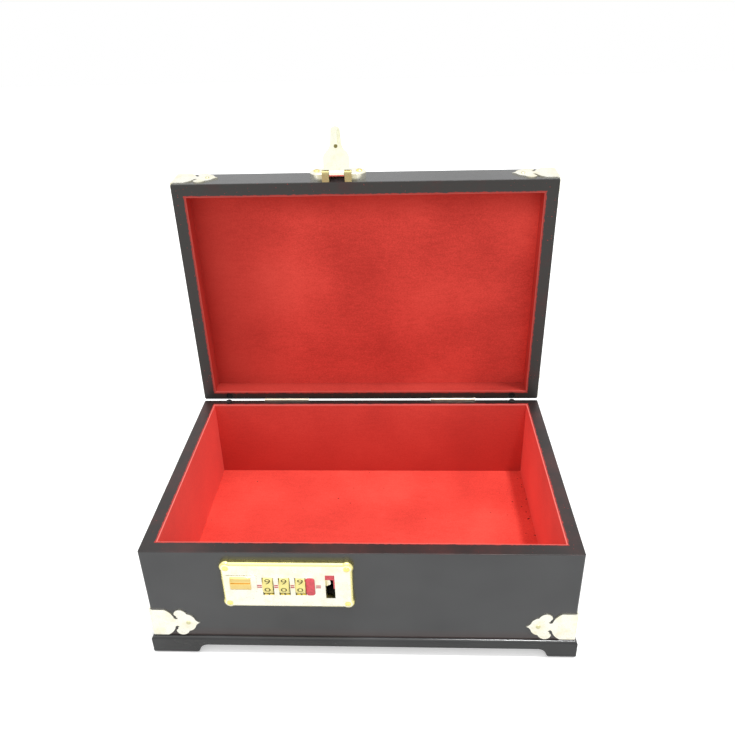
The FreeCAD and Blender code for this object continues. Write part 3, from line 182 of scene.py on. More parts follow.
class StageSettings(bpy.types.PropertyGroup):
    """Camera and light."""
    camera: bpy.props.FloatVectorProperty(
        name="Camera", description="Camera from the middle of the front rim",
        default=(0.0293, -0.37, 0.342), unit="LENGTH")
    pitch: angle("Pitch", "How far the camera looks down", 28.48)
    yaw: angle("Yaw", "How far the camera looks to the right", -3.04)
    roll: angle("Roll", "How far the camera leans", -1.68)
    lens: bpy.props.FloatProperty(name="Lens", description="Focal length on a 36 mm sensor",
                                  default=36.0, unit="CAMERA", min=1.0)
    overhead: brightness("Overhead light", "Strength of the soft light above", 0.95)
    softness: angle("Softness", "How wide the soft light above is", 75.0)
    key: brightness("Key light", "Strength of the sharper light above", 1.5)
    key_softness: angle("Key softness", "How wide the sharper light is", 5.0)
    ambient: brightness("Room light", "Strength of the even light around", 0.6)


# Node trees

def connect(tree, item, inputs):
    """Give a node its inputs: each is a value or the socket to link."""
    for name, value in inputs.items():
        if isinstance(value, bpy.types.NodeSocket):
            tree.links.new(value, item.inputs[name])
        else:
            item.inputs[name].default_value = value


def node(tree, kind, inputs=None, **settings):
    """Add a node with its inputs; the settings are its properties."""
    item = tree.nodes.new(kind)
    for name, value in settings.items():
        setattr(item, name, value)
    connect(tree, item, inputs or {})
    return item


def stretched(tree, spot, **change):
    """A spot moved, turned or scaled."""
    inputs = {name.title(): value for name, value in change.items()}
    return node(tree, "ShaderNodeMapping", {"Vector": spot, **inputs}).outputs["Vector"]


def new_material(name, lid=False):
    """An empty material with its surface shader, and the piece's own coordinates: on the lid, those that a
    spot has when the lid is closed."""
    material = bpy.data.materials.new(name)
    material.use_nodes = True
    tree = material.node_tree
    shader = tree.nodes["Principled BSDF"]
    spot = node(tree, "ShaderNodeTexCoord").outputs["Object"]
    if lid:
        closing = Matrix.Rotation(OPENING, 3, "X")
        spot = stretched(tree, spot, rotation=(OPENING, 0.0, 0.0), location=HINGE - closing @ HINGE)
    return material, tree, shader, spot


def split(tree, spot):
    """The X, Y and Z of a spot."""
    return node(tree, "ShaderNodeSeparateXYZ", {"Vector": spot}).outputs


def steps(tree, value, positions, shades):
    """A colour ramp over a value, with a shade at each position."""
    ramp = node(tree, "ShaderNodeValToRGB", {"Fac": value})
    elements = ramp.color_ramp.elements
    while len(elements) < len(positions):
        elements.new(1.0)
    for element, position, shade in zip(elements, positions, shades):
        element.position = position
        element.color = shade
    return ramp.outputs["Color"]


def blend(tree, share, one, other):
    """Mix two colours by a share."""
    return node(tree, "ShaderNodeMix", {"Factor": share, "A": one, "B": other}, data_type="RGBA").outputs[2]


def reckon(tree, operation, *values):
    """The outcome of a sum over sockets or numbers."""
    return node(tree, "ShaderNodeMath", dict(enumerate(values)), operation=operation).outputs[0]


def between(tree, value, low, high, first=0.0, last=1.0):
    """Carry a value from one range to another, held at the ends."""
    return node(tree, "ShaderNodeMapRange", {"Value": value, "From Min": low, "From Max": high,
                                             "To Min": first, "To Max": last}).outputs["Result"]


def noise(tree, spot, millimetres, detail=3.0, roughness=0.6):
    """Cloudy noise with features about this size."""
    scale = 1.0 / (millimetres * MM)
    return node(tree, "ShaderNodeTexNoise", {"Vector": spot, "Scale": scale, "Detail": detail,
                                             "Roughness": roughness}).outputs["Fac"]


def bump(tree, height, strength, millimetres):
    """A surface that rises and falls with a pattern."""
    return node(tree, "ShaderNodeBump", {"Height": height, "Strength": strength,
                                         "Distance": millimetres * MM}).outputs["Normal"]


def dimmed(shade, share):
    """A colour with its brightness times a share."""
    return tuple(share * part for part in shade[:3]) + (1.0,)


def paint(names, material):
    """Give CAD nodes or pieces a material."""
    for name in names:
        mesh = bpy.data.objects[name].data
        mesh.materials.clear()
        mesh.materials.append(material)


# Lacquer

# The painted brown reflection along the foot, the rim's band and the ragged fringe of flock
FOOT_LOW, FOOT_HIGH = FRONT_LOW.z + 1.0 * MM, FRONT_LOW.z + 9.0 * MM
RIM_BAND = 0.35 * MM
FRINGE_DEPTH = 2.4 * MM
FRINGE_FULL, FRINGE_END = -1.0 * MM, -0.3 * MM


def from_well(tree, axes):
    """Distance outwards from the inner edge of the rim."""
    across = reckon(tree, "SUBTRACT", reckon(tree, "ABSOLUTE", axes["X"]), WELL_SIDE)
    along = reckon(tree, "ABSOLUTE", reckon(tree, "SUBTRACT", axes["Y"], WELL_MIDDLE))
    return reckon(tree, "MAXIMUM", across, reckon(tree, "SUBTRACT", along, WELL_REACH))


def stray_flock(tree, spot, axes):
    """Share of flock on the lacquer: a ragged fringe along the well, and a few stray fibres."""
    ragged = reckon(tree, "MULTIPLY_ADD", noise(tree, spot, 3.0, 4.0), -FRINGE_DEPTH, from_well(tree, axes))
    fringe = between(tree, ragged, FRINGE_FULL, FRINGE_END, 0.85, 0.0)
    fibres = between(tree, noise(tree, spot, 1.3, 1.0), 0.74, 0.78, 0.0, 0.8)
    return reckon(tree, "MAXIMUM", fringe, fibres)


def lacquer(name, colours, lid, deep, foot_reflection_share=0.0):
    """Black lacquer sprayed on hardwood: near black and glossy, rubbed brown and darkened with painted shade
    on the rims, with a painted brown reflection along the foot, and a fringe of flock and a few stray fibres
    on the rims."""
    material, tree, shader, spot = new_material(name, lid)
    axes = split(tree, spot)
    tones = [dimmed(colours.lacquer, deep + change) for change in (-0.1, 0.12)]
    base = steps(tree, noise(tree, spot, 70.0, 2.0), (0.35, 0.65), tones)
    # Painted reflection: brown along the foot
    foot = between(tree, axes["Z"], FOOT_LOW, FOOT_HIGH, foot_reflection_share, 0.0)
    base = blend(tree, foot, base, colours.lacquer_worn)
    # The rim is painted darker as shade, with brown haze where red was sprayed past the edge
    rim = reckon(tree, "COMPARE", axes["Z"], LID_Z if lid else SEAM_Z, RIM_BAND)
    clean = 0.54 if lid else 0.42
    haze = between(tree, noise(tree, spot, 26.0, 4.0), clean, clean + 0.26)
    rim_shade_and_haze = blend(tree, haze, colours.lid_rim if lid else colours.rim_dark, colours.rim_brown)
    base = blend(tree, rim, base, rim_shade_and_haze)
    stray = reckon(tree, "MULTIPLY", stray_flock(tree, spot, axes), rim)
    base = blend(tree, stray, base, colours.flock_dark)
    # Gloss: the film is a little wavy, and flock on it is matt
    peel = noise(tree, spot, 6.0, 1.0)
    gloss = between(tree, peel, 0.0, 1.0, 0.16, 0.26)
    gloss = reckon(tree, "MAXIMUM", gloss, reckon(tree, "MULTIPLY", rim, 0.42))
    gloss = reckon(tree, "MAXIMUM", gloss, stray)
    connect(tree, shader, {"Base Color": base, "Roughness": gloss, "IOR": 1.52,
                           "Normal": bump(tree, peel, 0.02, 0.05)})
    return material


# Flock: how much of its shade is fibres, its pale edge of dust below the rim, where painted shade lies on the
# lid, and where it is dirty

FIBRE_SHARE = 0.6
DUST_NEAR, DUST_FAR = 0.6 * MM, 1.8 * MM
LID_SHADE_SIDE = 80.0 * MM
LID_SHADE_FRONT = 26.0 * MM
CRUMBS_FROM, CRUMBS_TO = WELL_SIDE - 18.0 * MM, WELL_SIDE - 5.0 * MM
FLOOR_BAND = 0.1 * MM


def rubbed_lid(tree, axes):
    """Share of painted shade on the lid's flock: along its left side and along its front."""
    side = between(tree, axes["X"], -WELL_SIDE, LID_SHADE_SIDE - WELL_SIDE, 0.75, 0.0)
    front = between(tree, axes["Y"], WELL_FRONT, WELL_FRONT + LID_SHADE_FRONT, 0.75, 0.0)
    return reckon(tree, "MAXIMUM", side, front)


def floor_crumbs(tree, spot, axes):
    """Share of crumbs: specks on the floor, and more of them along its right side."""
    floor = reckon(tree, "LESS_THAN", axes["Z"], FLOOR_Z + FLOOR_BAND)
    edge = between(tree, axes["X"], CRUMBS_FROM, CRUMBS_TO, 0.0, 0.09)
    specks = reckon(tree, "ADD", noise(tree, spot, 2.4, 1.0), edge)
    return reckon(tree, "MULTIPLY", between(tree, specks, 0.78, 0.82), floor)


def flock(name, colours, lid, bright, painted_paleness, shaded=0.0):
    """Nylon flock blown onto glue: matt and velvety, softly clouded where the fibres lie in different ways,
    pale where its upper edge catches dust, with painted shade towards the floor and on the lid's left side
    and front, with painted light and shade in each lining's brightness and paleness, and with a few dark
    crumbs on the floor."""
    material, tree, shader, spot = new_material(name, lid)
    axes = split(tree, spot)
    cloud_size, contrast = (80.0, 0.2) if lid else (60.0, 0.3)
    cloud = noise(tree, spot, cloud_size, 3.0, 0.45)
    brushed = stretched(tree, spot, scale=(0.3, 1.0, 1.7), rotation=(0.5, 0.4, 0.6))
    strokes = noise(tree, brushed, 3.0, 5.0, 0.7)
    lie = node(tree, "ShaderNodeMix", {"Factor": 0.25, "A": cloud, "B": strokes}).outputs["Result"]
    # Fibres: half a millimetre in fact, drawn at twice that so that they show
    fibres = noise(tree, spot, 1.0, 4.0, 0.75)
    shade = reckon(tree, "MULTIPLY_ADD", fibres, FIBRE_SHARE, lie)
    middle = 0.5 * (1.0 + FIBRE_SHARE)
    # Painted light and shade: each lining's tones are scaled by its brightness
    tones = [dimmed(tone, bright) for tone in (colours.flock_dark, colours.flock, colours.flock_light)]
    base = steps(tree, shade, (middle - contrast, middle, middle + contrast), tones)
    # Painted light: the whole lining paled by its share
    base = blend(tree, painted_paleness, base, colours.flock_edge)
    # The tone of painted shade
    deep = dimmed(colours.flock_dark, 0.72)
    if lid:
        base = blend(tree, rubbed_lid(tree, axes), base, deep)
        dust = between(tree, axes["Z"], LID_Z + DUST_NEAR, LID_Z + DUST_FAR, 0.3, 0.0)
    else:
        # Painted shade: darker towards the floor
        base = blend(tree, between(tree, axes["Z"], FLOOR_Z, SEAM_Z, shaded, 0.0), base, deep)
        base = blend(tree, floor_crumbs(tree, spot, axes), base, colours.crumb)
        dust = between(tree, axes["Z"], SEAM_Z - DUST_FAR, SEAM_Z - DUST_NEAR, 0.0, 0.65)
    base = blend(tree, dust, base, colours.flock_edge)
    connect(tree, shader, {"Base Color": base, "Roughness": 0.95, "Specular IOR Level": 0.15,
                           "Sheen Weight": 0.25, "Sheen Roughness": 0.5, "Sheen Tint": colours.flock_light,
                           "Normal": bump(tree, fibres, 0.35, 0.3)})
    return material


# Metals, paint, rubber, board and paper

SMUDGE_TINT = (0.95, 0.92, 0.8)
PAPER_GLOW = 0.45


def polished_brass(name, shade, smooth, rough, edge=None, axis="Y", reach=None, lid=False):
    """Brass, stamped or cast and then buffed: bright, with fine haze and finger smudges; where an edge
    colour is given, it deepens to that colour over a reach along an axis."""
    material, tree, shader, spot = new_material(name, lid)
    smudge = noise(tree, spot, 9.0, 4.0)
    dull = tuple(part * tint for part, tint in zip(shade[:3], SMUDGE_TINT)) + (1.0,)
    base = steps(tree, smudge, (0.32, 0.55), (dull, shade))
    if edge is not None:
        base = blend(tree, between(tree, split(tree, spot)[axis], *reach), base, edge)
    haze = between(tree, smudge, 0.3, 0.7, rough, smooth)
    connect(tree, shader, {"Base Color": base, "Roughness": haze, "Metallic": 1.0,
                           "Normal": bump(tree, noise(tree, spot, 0.6, 2.0), 0.05, 0.05)})
    return material


def mottled(name, pattern, positions, shades, rough, relief=None):
    """A dull material that follows one noise pattern in its shades and, where a relief is given, in its
    surface; the pattern is size, detail and roughness, and the relief is strength and depth."""
    material, tree, shader, spot = new_material(name)
    cloud = noise(tree, spot, *pattern)
    connect(tree, shader, {"Base Color": steps(tree, cloud, positions, shades), "Roughness": rough})
    if relief:
        connect(tree, shader, {"Normal": bump(tree, cloud, *relief)})
    return material


def enamel(name, shade, rough):
    """Paint or plastic of one colour: slightly uneven in tone, with a soft gloss."""
    return mottled(name, (1.8, 3.0, 0.5), (0.35, 0.6), (dimmed(shade, 0.8), shade), rough, (0.08, 0.05))


def nickel_plate(name, shade):
    """Nickel-plated rolled steel: bright, with faint rolling lines along the hinge."""
    material, tree, shader, spot = new_material(name)
    lines = noise(tree, stretched(tree, spot, scale=(0.06, 1.0, 1.0)), 0.5, 3.0, 0.5)
    base = steps(tree, lines, (0.3, 0.6), (dimmed(shade, 0.75), shade))
    haze = between(tree, lines, 0.0, 1.0, 0.2, 0.42)
    connect(tree, shader, {"Base Color": base, "Roughness": haze, "Metallic": 1.0})
    return material


def sooty_zinc(name):
    """Zinc-plated sheet of the lock's case, drawn dark as painted shade."""
    shades = (linear("#1a1918"), linear("#3a3836"))
    return mottled(name, (3.0, 4.0, 0.6), (0.35, 0.65), shades, 0.7)


def rubber(name):
    """Moulded black rubber: matt, with a fine grain."""
    shades = (linear("#141313"), linear("#262424"))
    return mottled(name, (0.4, 3.0, 0.5), (0.3, 0.7), shades, 0.8, (0.3, 0.05))


def fibreboard(name):
    """Pressed wood-fibre board: warm brown, flecked and matt."""
    shades = (linear("#4f3826"), linear("#7d5d42"), linear("#94745a"))
    return mottled(name, (1.4, 8.0, 0.8), (0.32, 0.5, 0.7), shades, 0.85, (0.25, 0.2))


def glowing_paper(name):
    """White paper that glows a little where the camera sees it, as in an overexposed picture."""
    shades = (linear("#e6e6e5"), linear("#ececec"))
    material = mottled(name, (14.0, 6.0, 0.7), (0.3, 0.7), shades, 0.9)
    tree = material.node_tree
    seen = node(tree, "ShaderNodeLightPath").outputs["Is Camera Ray"]
    connect(tree, tree.nodes["Principled BSDF"], {
        "Emission Color": WHITE, "Emission Strength": reckon(tree, "MULTIPLY", seen, PAPER_GLOW)})
    return material


# Modelling

SMOOTH_BELOW = math.radians(35.0)
SHARP_ABOVE = math.radians(40.0)
HEAD_SIDES = 32
HEAD_BASE = 0.05 * MM
HAIR = 0.001 * MM

# Turns that point a piece's z axis to the front and to the back
TO_FRONT = Matrix.Rotation(math.pi / 2, 4, "X")
TO_BACK = Matrix.Rotation(-math.pi / 2, 4, "X")


def mode(name):
    """Enter edit mode or object mode."""
    bpy.ops.object.mode_set(mode=name)


def only(*items):
    """Select these objects alone; the first is the active one."""
    bpy.ops.object.select_all(action="DESELECT")
    for item in items:
        item.select_set(True)
    bpy.context.view_layer.objects.active = items[0]


def settle(item):
    """Put an object's place into its mesh, so that the object sits at the origin."""
    only(item)
    bpy.ops.object.transform_apply(location=True, rotation=True, scale=True)
    return item


def join(items, name):
    """Join objects into the first one, under a name."""
    only(*items)
    if len(items) > 1:
        bpy.ops.object.join()
    items[0].name = name
    return items[0]


def pick(item, kind, parts, test):
    """Enter edit mode with those faces or edges selected that pass a test."""
    only(item)
    mode("EDIT")
    bpy.ops.mesh.select_mode(type=kind)
    bpy.ops.mesh.select_all(action="DESELECT")
    mode("OBJECT")
    for part in parts:
        part.select = test(part)
    mode("EDIT")


def pick_flat(item, way):
    """Enter edit mode with the faces selected that look up, way 1, or down, way -1."""
    pick(item, "FACE", item.data.polygons, lambda face: way * face.normal.z > 0.9)


def slice_across(item, normal, distances):
    """Cut an object's mesh across at each distance along a normal."""
    only(item)
    mode("EDIT")
    for distance in distances:
        bpy.ops.mesh.select_all(action="SELECT")
        bpy.ops.mesh.bisect(plane_co=distance * normal, plane_no=normal)
    mode("OBJECT")


def apply_all(item):
    """Apply an object's modifiers in order."""
    only(item)
    for modifier in list(item.modifiers):
        bpy.ops.object.modifier_apply(modifier=modifier.name)
    return item


def soften(item, width, segments=2):
    """Round an object's sharp edges."""
    bevel = item.modifiers.new("Rounding", "BEVEL")
    bevel.width = width
    bevel.segments = segments
    bevel.limit_method = "ANGLE"
    bevel.angle_limit = SHARP_ABOVE
    return apply_all(item)


def carve(item, tool):
    """Cut one object's shape out of another and remove the tool."""
    boolean = item.modifiers.new("Cut", "BOOLEAN")
    boolean.operation = "DIFFERENCE"
    boolean.solver = "EXACT"
    boolean.object = tool
    apply_all(item)
    bpy.data.objects.remove(tool)
    return item


def repeat(pattern, places, name):
    """Copy a finished pattern to each place, each copy with its own mesh, and join the copies."""
    copies = []
    for place in places:
        copy = pattern.copy()
        copy.data = pattern.data.copy()
        copy.data.transform(place)
        bpy.context.scene.collection.objects.link(copy)
        copies.append(copy)
    bpy.data.objects.remove(pattern)
    return join(copies, name)


def finish_piece(piece, body, slot, finish, *nodes):
    """Shade a finished piece, paint it with the material of that name, set the body that it moves with and
    hide the nodes that it stands for. The slot is not used."""
    only(piece)
    bpy.ops.object.shade_smooth_by_angle(angle=SMOOTH_BELOW)
    paint([piece.name], bpy.data.materials[finish])
    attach(piece, body)
    if nodes:
        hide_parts(*nodes)


def new_part(name):
    """The object that the last operator added, under its own name."""
    item = bpy.context.object
    item.name = name
    return item


def block(name, low, high):
    """A plain block between two corners."""
    low, high = Vector(low), Vector(high)
    bpy.ops.mesh.primitive_cube_add(size=1.0, location=(low + high) / 2)
    item = new_part(name)
    item.scale = high - low
    return settle(item)


def dome(name, radius, rise, base):
    """A round cap on the plane z = 0, drawn in ring by ring from a short cylinder that reaches below it."""
    bpy.ops.mesh.primitive_cylinder_add(vertices=HEAD_SIDES, radius=radius, depth=base,
                                        location=(0, 0, -base / 2))
    item = settle(new_part(name))
    pick_flat(item, 1)
    rings = 6
    crown = math.radians(78.0)
    turns = [crown * ring / rings for ring in range(rings + 1)]
    for here, there in zip(turns, turns[1:]):
        bpy.ops.mesh.inset(thickness=radius * (math.cos(here) - math.cos(there)),
                           depth=rise * (math.sin(there) - math.sin(here)))
    mode("OBJECT")
    return item


def extend_down(reach):
    """Draw the picked faces down, and leave edit mode."""
    bpy.ops.mesh.extrude_region_move(TRANSFORM_OT_translate={"value": (0, 0, -reach)})
    mode("OBJECT")


def cut_slot(item, radius, depth, top):
    """Cut the slot across a screw's head."""
    half = Vector((1.2 * radius, 0.15 * radius, depth))
    middle = Vector((0.0, 0.0, top))
    return carve(item, block("screw_slot", middle - half, middle + half))


def round_pin(name, radius, rise, shank, reach):
    """A round head on the plane z = 0, with its shank pointing down."""
    item = dome(name, radius, rise, HEAD_BASE)
    pick_flat(item, -1)
    bpy.ops.mesh.inset(thickness=radius - shank, depth=0.0)
    extend_down(reach)
    return item


def slotted_screw(name, radius, rise, shank, reach):
    """A round-headed screw."""
    return cut_slot(round_pin(name, radius, rise, shank, reach), radius, 0.55 * rise, rise)


def countersunk_screw(name, radius, sink, shank, reach):
    """A flat screw: its head is level with the plane z = 0 and tapers into the leaf."""
    bpy.ops.mesh.primitive_cone_add(vertices=HEAD_SIDES, radius1=shank, radius2=radius, depth=sink,
                                    location=(0, 0, -sink / 2))
    item = settle(new_part(name))
    pick_flat(item, -1)
    extend_down(reach)
    return cut_slot(item, radius, 0.5 * sink, 0.0)


# Operators

class LacquerBoards(bpy.types.Operator):
    """Lacquer the carcass, the plinth and the lid"""
    bl_idname = "moneybox.lacquer_boards"
    bl_label = "Lacquer boards"

    def execute(self, context):
        colours = context.scene.box_colours
        sides = ("front", "right", "back", "left")
        boards = ["front_panel", "right_end", "back_panel", "left_end"]
        # deep sets how dark each copy of the lacquer is drawn: painted shade, darkest on the plinth and then
        # the lid
        paint(boards, lacquer("black_lacquer_on_boards", colours, lid=False, deep=0.86, foot_reflection_share=0.55))
        paint(["plinth_" + side for side in sides],
              lacquer("black_lacquer_on_plinth", colours, lid=False, deep=0.4))
        rails = ["lid_" + side + "_rail" for side in sides] + ["lid_panel"]
        paint(rails, lacquer("black_lacquer_on_lid", colours, lid=True, deep=0.54))
        paint(["bottom_panel"], fibreboard("pressed_fibreboard"))
        return {"FINISHED"}


class FlockLinings(bpy.types.Operator):
    """Flock the inside of the box and of the lid"""
    bl_idname = "moneybox.flock_linings"
    bl_label = "Flock linings"

    def execute(self, context):
        colours = context.scene.box_colours
        # In the box: finish, linings, brightness and paleness as painted light, and painted shade towards the
        # floor
        for name, linings, bright, painted_paleness, shaded in (
                ("red_flock_on_floor", ["floor_lining"], 1.0, 0.0, 0.0),
                ("red_flock_on_left_end", ["left_lining"], 1.15, 0.38, 0.0),
                ("red_flock_on_right_end", ["right_lining"], 1.33, 0.38, 0.0),
                ("red_flock_on_walls", ["front_lining", "back_lining", "lock_cover"], 0.88, 0.1, 0.6)):
            paint(linings, flock(name, colours, False, bright, painted_paleness, shaded))
        # In the lid: finish, lining and brightness; the edges are drawn darker as painted shade
        for name, lining, bright in (("red_flock_in_lid", "lid_lining", 1.0),
                                     ("red_flock_on_lid_edges", "lid_edge_linings", 0.62)):
            paint([lining], flock(name, colours, True, bright, painted_paleness=0.02))
        return {"FINISHED"}


class BrassFittings(bpy.types.Operator):
    """Polish the brackets, the lock plate, the knob and the hasp"""
    bl_idname = "moneybox.brass_fittings"
    bl_label = "Brass fittings"

    def execute(self, context):
        colours = context.scene.box_colours
        corners = ("front_left", "front_right", "back_right", "back_left")
        brackets = [level + "_bracket_" + corner for level in ("lower", "upper") for corner in corners]
        dials = ["dial_1", "dial_2", "dial_3"]
        # Finish, colour, roughness buffed and dull, and solids; the last four are for fine pieces
        for name, shade, smooth, rough, solids in (
                ("bracket_brass", colours.brass, 0.2, 0.36, brackets),
                ("slide_brass", colours.brass, 0.22, 0.36, ["latch_comb"]),
                ("flap_brass", colours.flap, 0.22, 0.36, ["hasp_flap"]),
                ("number_dial_brass", colours.dial, 0.2, 0.34, dials),
                ("gilded_knob", colours.gold, 0.12, 0.24, []),
                ("screw_brass", colours.edge_gold, 0.2, 0.3, []),
                ("pin_brass", colours.pin, 0.25, 0.4, []),
                ("rivet_brass", colours.shadow_brass, 0.3, 0.5, [])):
            paint(solids, polished_brass(name, shade, smooth, rough))
        # The hasp's base has painted shade in tan on its lugs, and the lock plate has a painted reflection in
        # deeper gold on its edges
        lugs = (LID_Z + 4.9 * MM, LID_Z + 4.2 * MM)
        paint(["hasp_base", "hasp_pin"],
              polished_brass("hasp_brass", colours.brass, 0.22, 0.36, colours.lug, "Z", lugs, lid=True))
        edge_reflection_reach = (PLATE_Y + 0.02 * MM, PLATE_Y + 0.25 * MM)
        paint(["lock_plate"],
              polished_brass("lock_plate_brass", colours.brass, 0.2, 0.34, colours.edge_gold, "Y", edge_reflection_reach))
        return {"FINISHED"}


class SteelPieces(bpy.types.Operator):
    """Finish the hinges and the lock's inside"""
    bl_idname = "moneybox.steel_pieces"
    bl_label = "Steel pieces"

    def execute(self, context):
        leaves = [f"hinge_{side}_{part}_leaf" for side in ("left", "right") for part in ("body", "lid")]
        sleeves = ["cam_sleeve_1", "cam_sleeve_2", "cam_sleeve_3"]
        plate = nickel_plate("nickel_plated_steel", context.scene.box_colours.nickel)
        paint(leaves + sleeves + ["hinge_pins", "dial_shaft"], plate)
        paint(["lock_case"], sooty_zinc("zinc_plated_case"))
        return {"FINISHED"}


# Raised veins on a bracket's leg, in millimetres: middle along and up, length, width, turn in degrees
VEINS = [
    (20.8, 7.6, 7.6, 2.8, 48),
    (20.8, -7.6, 7.6, 2.8, -48),
    (30.2, 0.0, 5.4, 2.4, 0),
]


class BracketVeins(bpy.types.Operator):
    """Raise the veins on the corner brackets and set their round-headed pins"""
    bl_idname = "moneybox.bracket_veins"
    bl_label = "Bracket veins and pins"

    def execute(self, context):
        sizes = context.scene.box_sizes
        for level, height, opened, body in (("lower", LOWER_BRACKET_Z, Matrix(), "case"),
                                            ("upper", UPPER_BRACKET_Z, OPEN_LID, "lid")):
            places = [opened @ leg for leg in self.legs(height)]
            veins = join([self.vein(sizes.relief_rise, *values) for values in VEINS], "veins")
            relief = repeat(veins, places, level + "_bracket_veins")
            finish_piece(relief, body, "stamped_brass", "bracket_brass")
            pin = round_pin("bracket_pin", sizes.dome_radius, sizes.dome_rise, sizes.pin_shank,
                            sizes.pin_length)
            spots = [place @ moved((BRACKET_PIN_AT, 0, 0)) for place in places]
            pins = repeat(pin, spots, level + "_round_pins")
            finish_piece(pins, body, "stamped_brass", "pin_brass", level + "_bracket_pins")
        return {"FINISHED"}

    def legs(self, height):
        """Frames on the face of every leg: x along it from the wood's corner, z outwards."""
        corners = [(-SIDE_X, FRONT_Y), (SIDE_X, FRONT_Y), (SIDE_X, BACK_Y), (-SIDE_X, BACK_Y)]
        side_leg = Matrix.Rotation(math.pi / 2, 4, "Z") @ TO_BACK
        places = []
        for quarter, (x, y) in enumerate(corners):
            corner = moved((x, y, height)) @ Matrix.Rotation(quarter * math.pi / 2, 4, "Z")
            for leg in (TO_FRONT, side_leg):
                places.append(corner @ leg @ moved((0, 0, BRACKET_THICK)))
        return places

    def vein(self, rise, along, up, long, wide, turn):
        """One raised vein: a long low cap that lies on the leg."""
        item = dome("vein", 0.5, 1.0, 0.1)
        item.scale = (long * MM, wide * MM, rise)
        item.rotation_euler.z = math.radians(turn)
        item.location = (along * MM, up * MM, 0)
        return settle(item)


# Screws: radius and rise of the head, radius and length of the shank; the hinges' heads lie in the leaf
LOCK_SCREW = (2.3 * MM, 0.42 * MM, 0.9 * MM, 10.0 * MM)
HASP_SCREW = (2.6 * MM, 1.1 * MM, 1.2 * MM, 10.0 * MM)
HINGE_SCREW = (1.8 * MM, HINGE.y - BACK_Y, 0.9 * MM, 5.0 * MM)
HINGE_SCREW_PITCH = 14.0 * MM


class Screws(bpy.types.Operator):
    """Set the slotted screws of the lock, the hasp and the hinges"""
    bl_idname = "moneybox.screws"
    bl_label = "Screws"

    def execute(self, context):
        self.lock_screws()
        self.hasp_screws()
        self.hinge_screws()
        return {"FINISHED"}

    def lock_screws(self):
        """Four screws in the corners of the lock plate."""
        low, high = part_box("lock_screws")
        radius = LOCK_SCREW[0]
        places = [moved((x, PLATE_Y, z)) @ TO_FRONT for x in (low.x + radius, high.x - radius)
                  for z in (low.z + radius, high.z - radius)]
        piece = repeat(slotted_screw("lock_screw", *LOCK_SCREW), places, "lock_slotted_screws")
        finish_piece(piece, "case", "cast_brass", "screw_brass", "lock_screws")

    def hasp_screws(self):
        """Two screws beside the hasp's lugs."""
        low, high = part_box("hasp_screws")
        radius = HASP_SCREW[0]
        middle = OPEN_LID.inverted() @ ((low + high) / 2)
        places = [OPEN_LID @ moved((x, FRONT_Y - HASP_THICK, middle.z)) @ TO_FRONT
                  for x in (low.x + radius, high.x - radius)]
        piece = repeat(slotted_screw("hasp_screw", *HASP_SCREW), places, "hasp_slotted_screws")
        finish_piece(piece, "lid", "cast_brass", "screw_brass", "hasp_screws")

    def hinge_screws(self):
        """Three flat screws in each leaf of both hinges."""
        low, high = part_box("hinge_body_screws")
        inset = HINGE_SCREW[0] + HINGE_SCREW_PITCH
        middles = (low.x + inset, high.x - inset)
        drop = HINGE.z - (low.z + high.z) / 2
        for part, body, level, opened in (("body", "case", -drop, Matrix()), ("lid", "lid", drop, OPEN_LID)):
            places = [opened @ moved((x + step, HINGE.y, HINGE.z + level)) @ TO_BACK
                      for x in middles for step in (-HINGE_SCREW_PITCH, 0.0, HINGE_SCREW_PITCH)]
            piece = repeat(countersunk_screw("hinge_screw", *HINGE_SCREW), places,
                           f"hinge_{part}_slotted_screws")
            finish_piece(piece, body, "plated_steel", "nickel_plated_steel", f"hinge_{part}_screws")


class StopButtons(bpy.types.Operator):
    """Shape the rubber stop buttons on the back rim"""
    bl_idname = "moneybox.stop_buttons"
    bl_label = "Stop buttons"

    def execute(self, context):
        low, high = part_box("stop_buttons")
        tall = high.z - low.z
        radius = (high.y - low.y) / 2
        bpy.ops.mesh.primitive_cylinder_add(vertices=48, radius=radius, depth=tall, location=(0, 0, tall / 2))
        button = settle(new_part("stop_button"))
        pick_flat(button, 1)
        bpy.ops.mesh.inset(thickness=0.35 * radius, depth=-0.1 * tall)
        mode("OBJECT")
        soften(button, 0.3 * tall, segments=3)
        row = (low.y + high.y) / 2
        places = [moved((x, row, low.z)) for x in (low.x + radius, high.x - radius)]
        piece = repeat(button, places, "rubber_stop_buttons")
        rubber("moulded_rubber")
        finish_piece(piece, "case", "black_rubber", "moulded_rubber", "stop_buttons")
        return {"FINISHED"}


# Numerals: how far below the index line the noughts stand, how wide the figures are drawn, the share of
# a figure's size that its height takes, and the bands across it that let it bend
NUMERAL_TURN = math.radians(6.0)
NUMERAL_WIDTH = 1.9
FIGURE_HEIGHT = 0.72
FIGURE_BANDS = 10


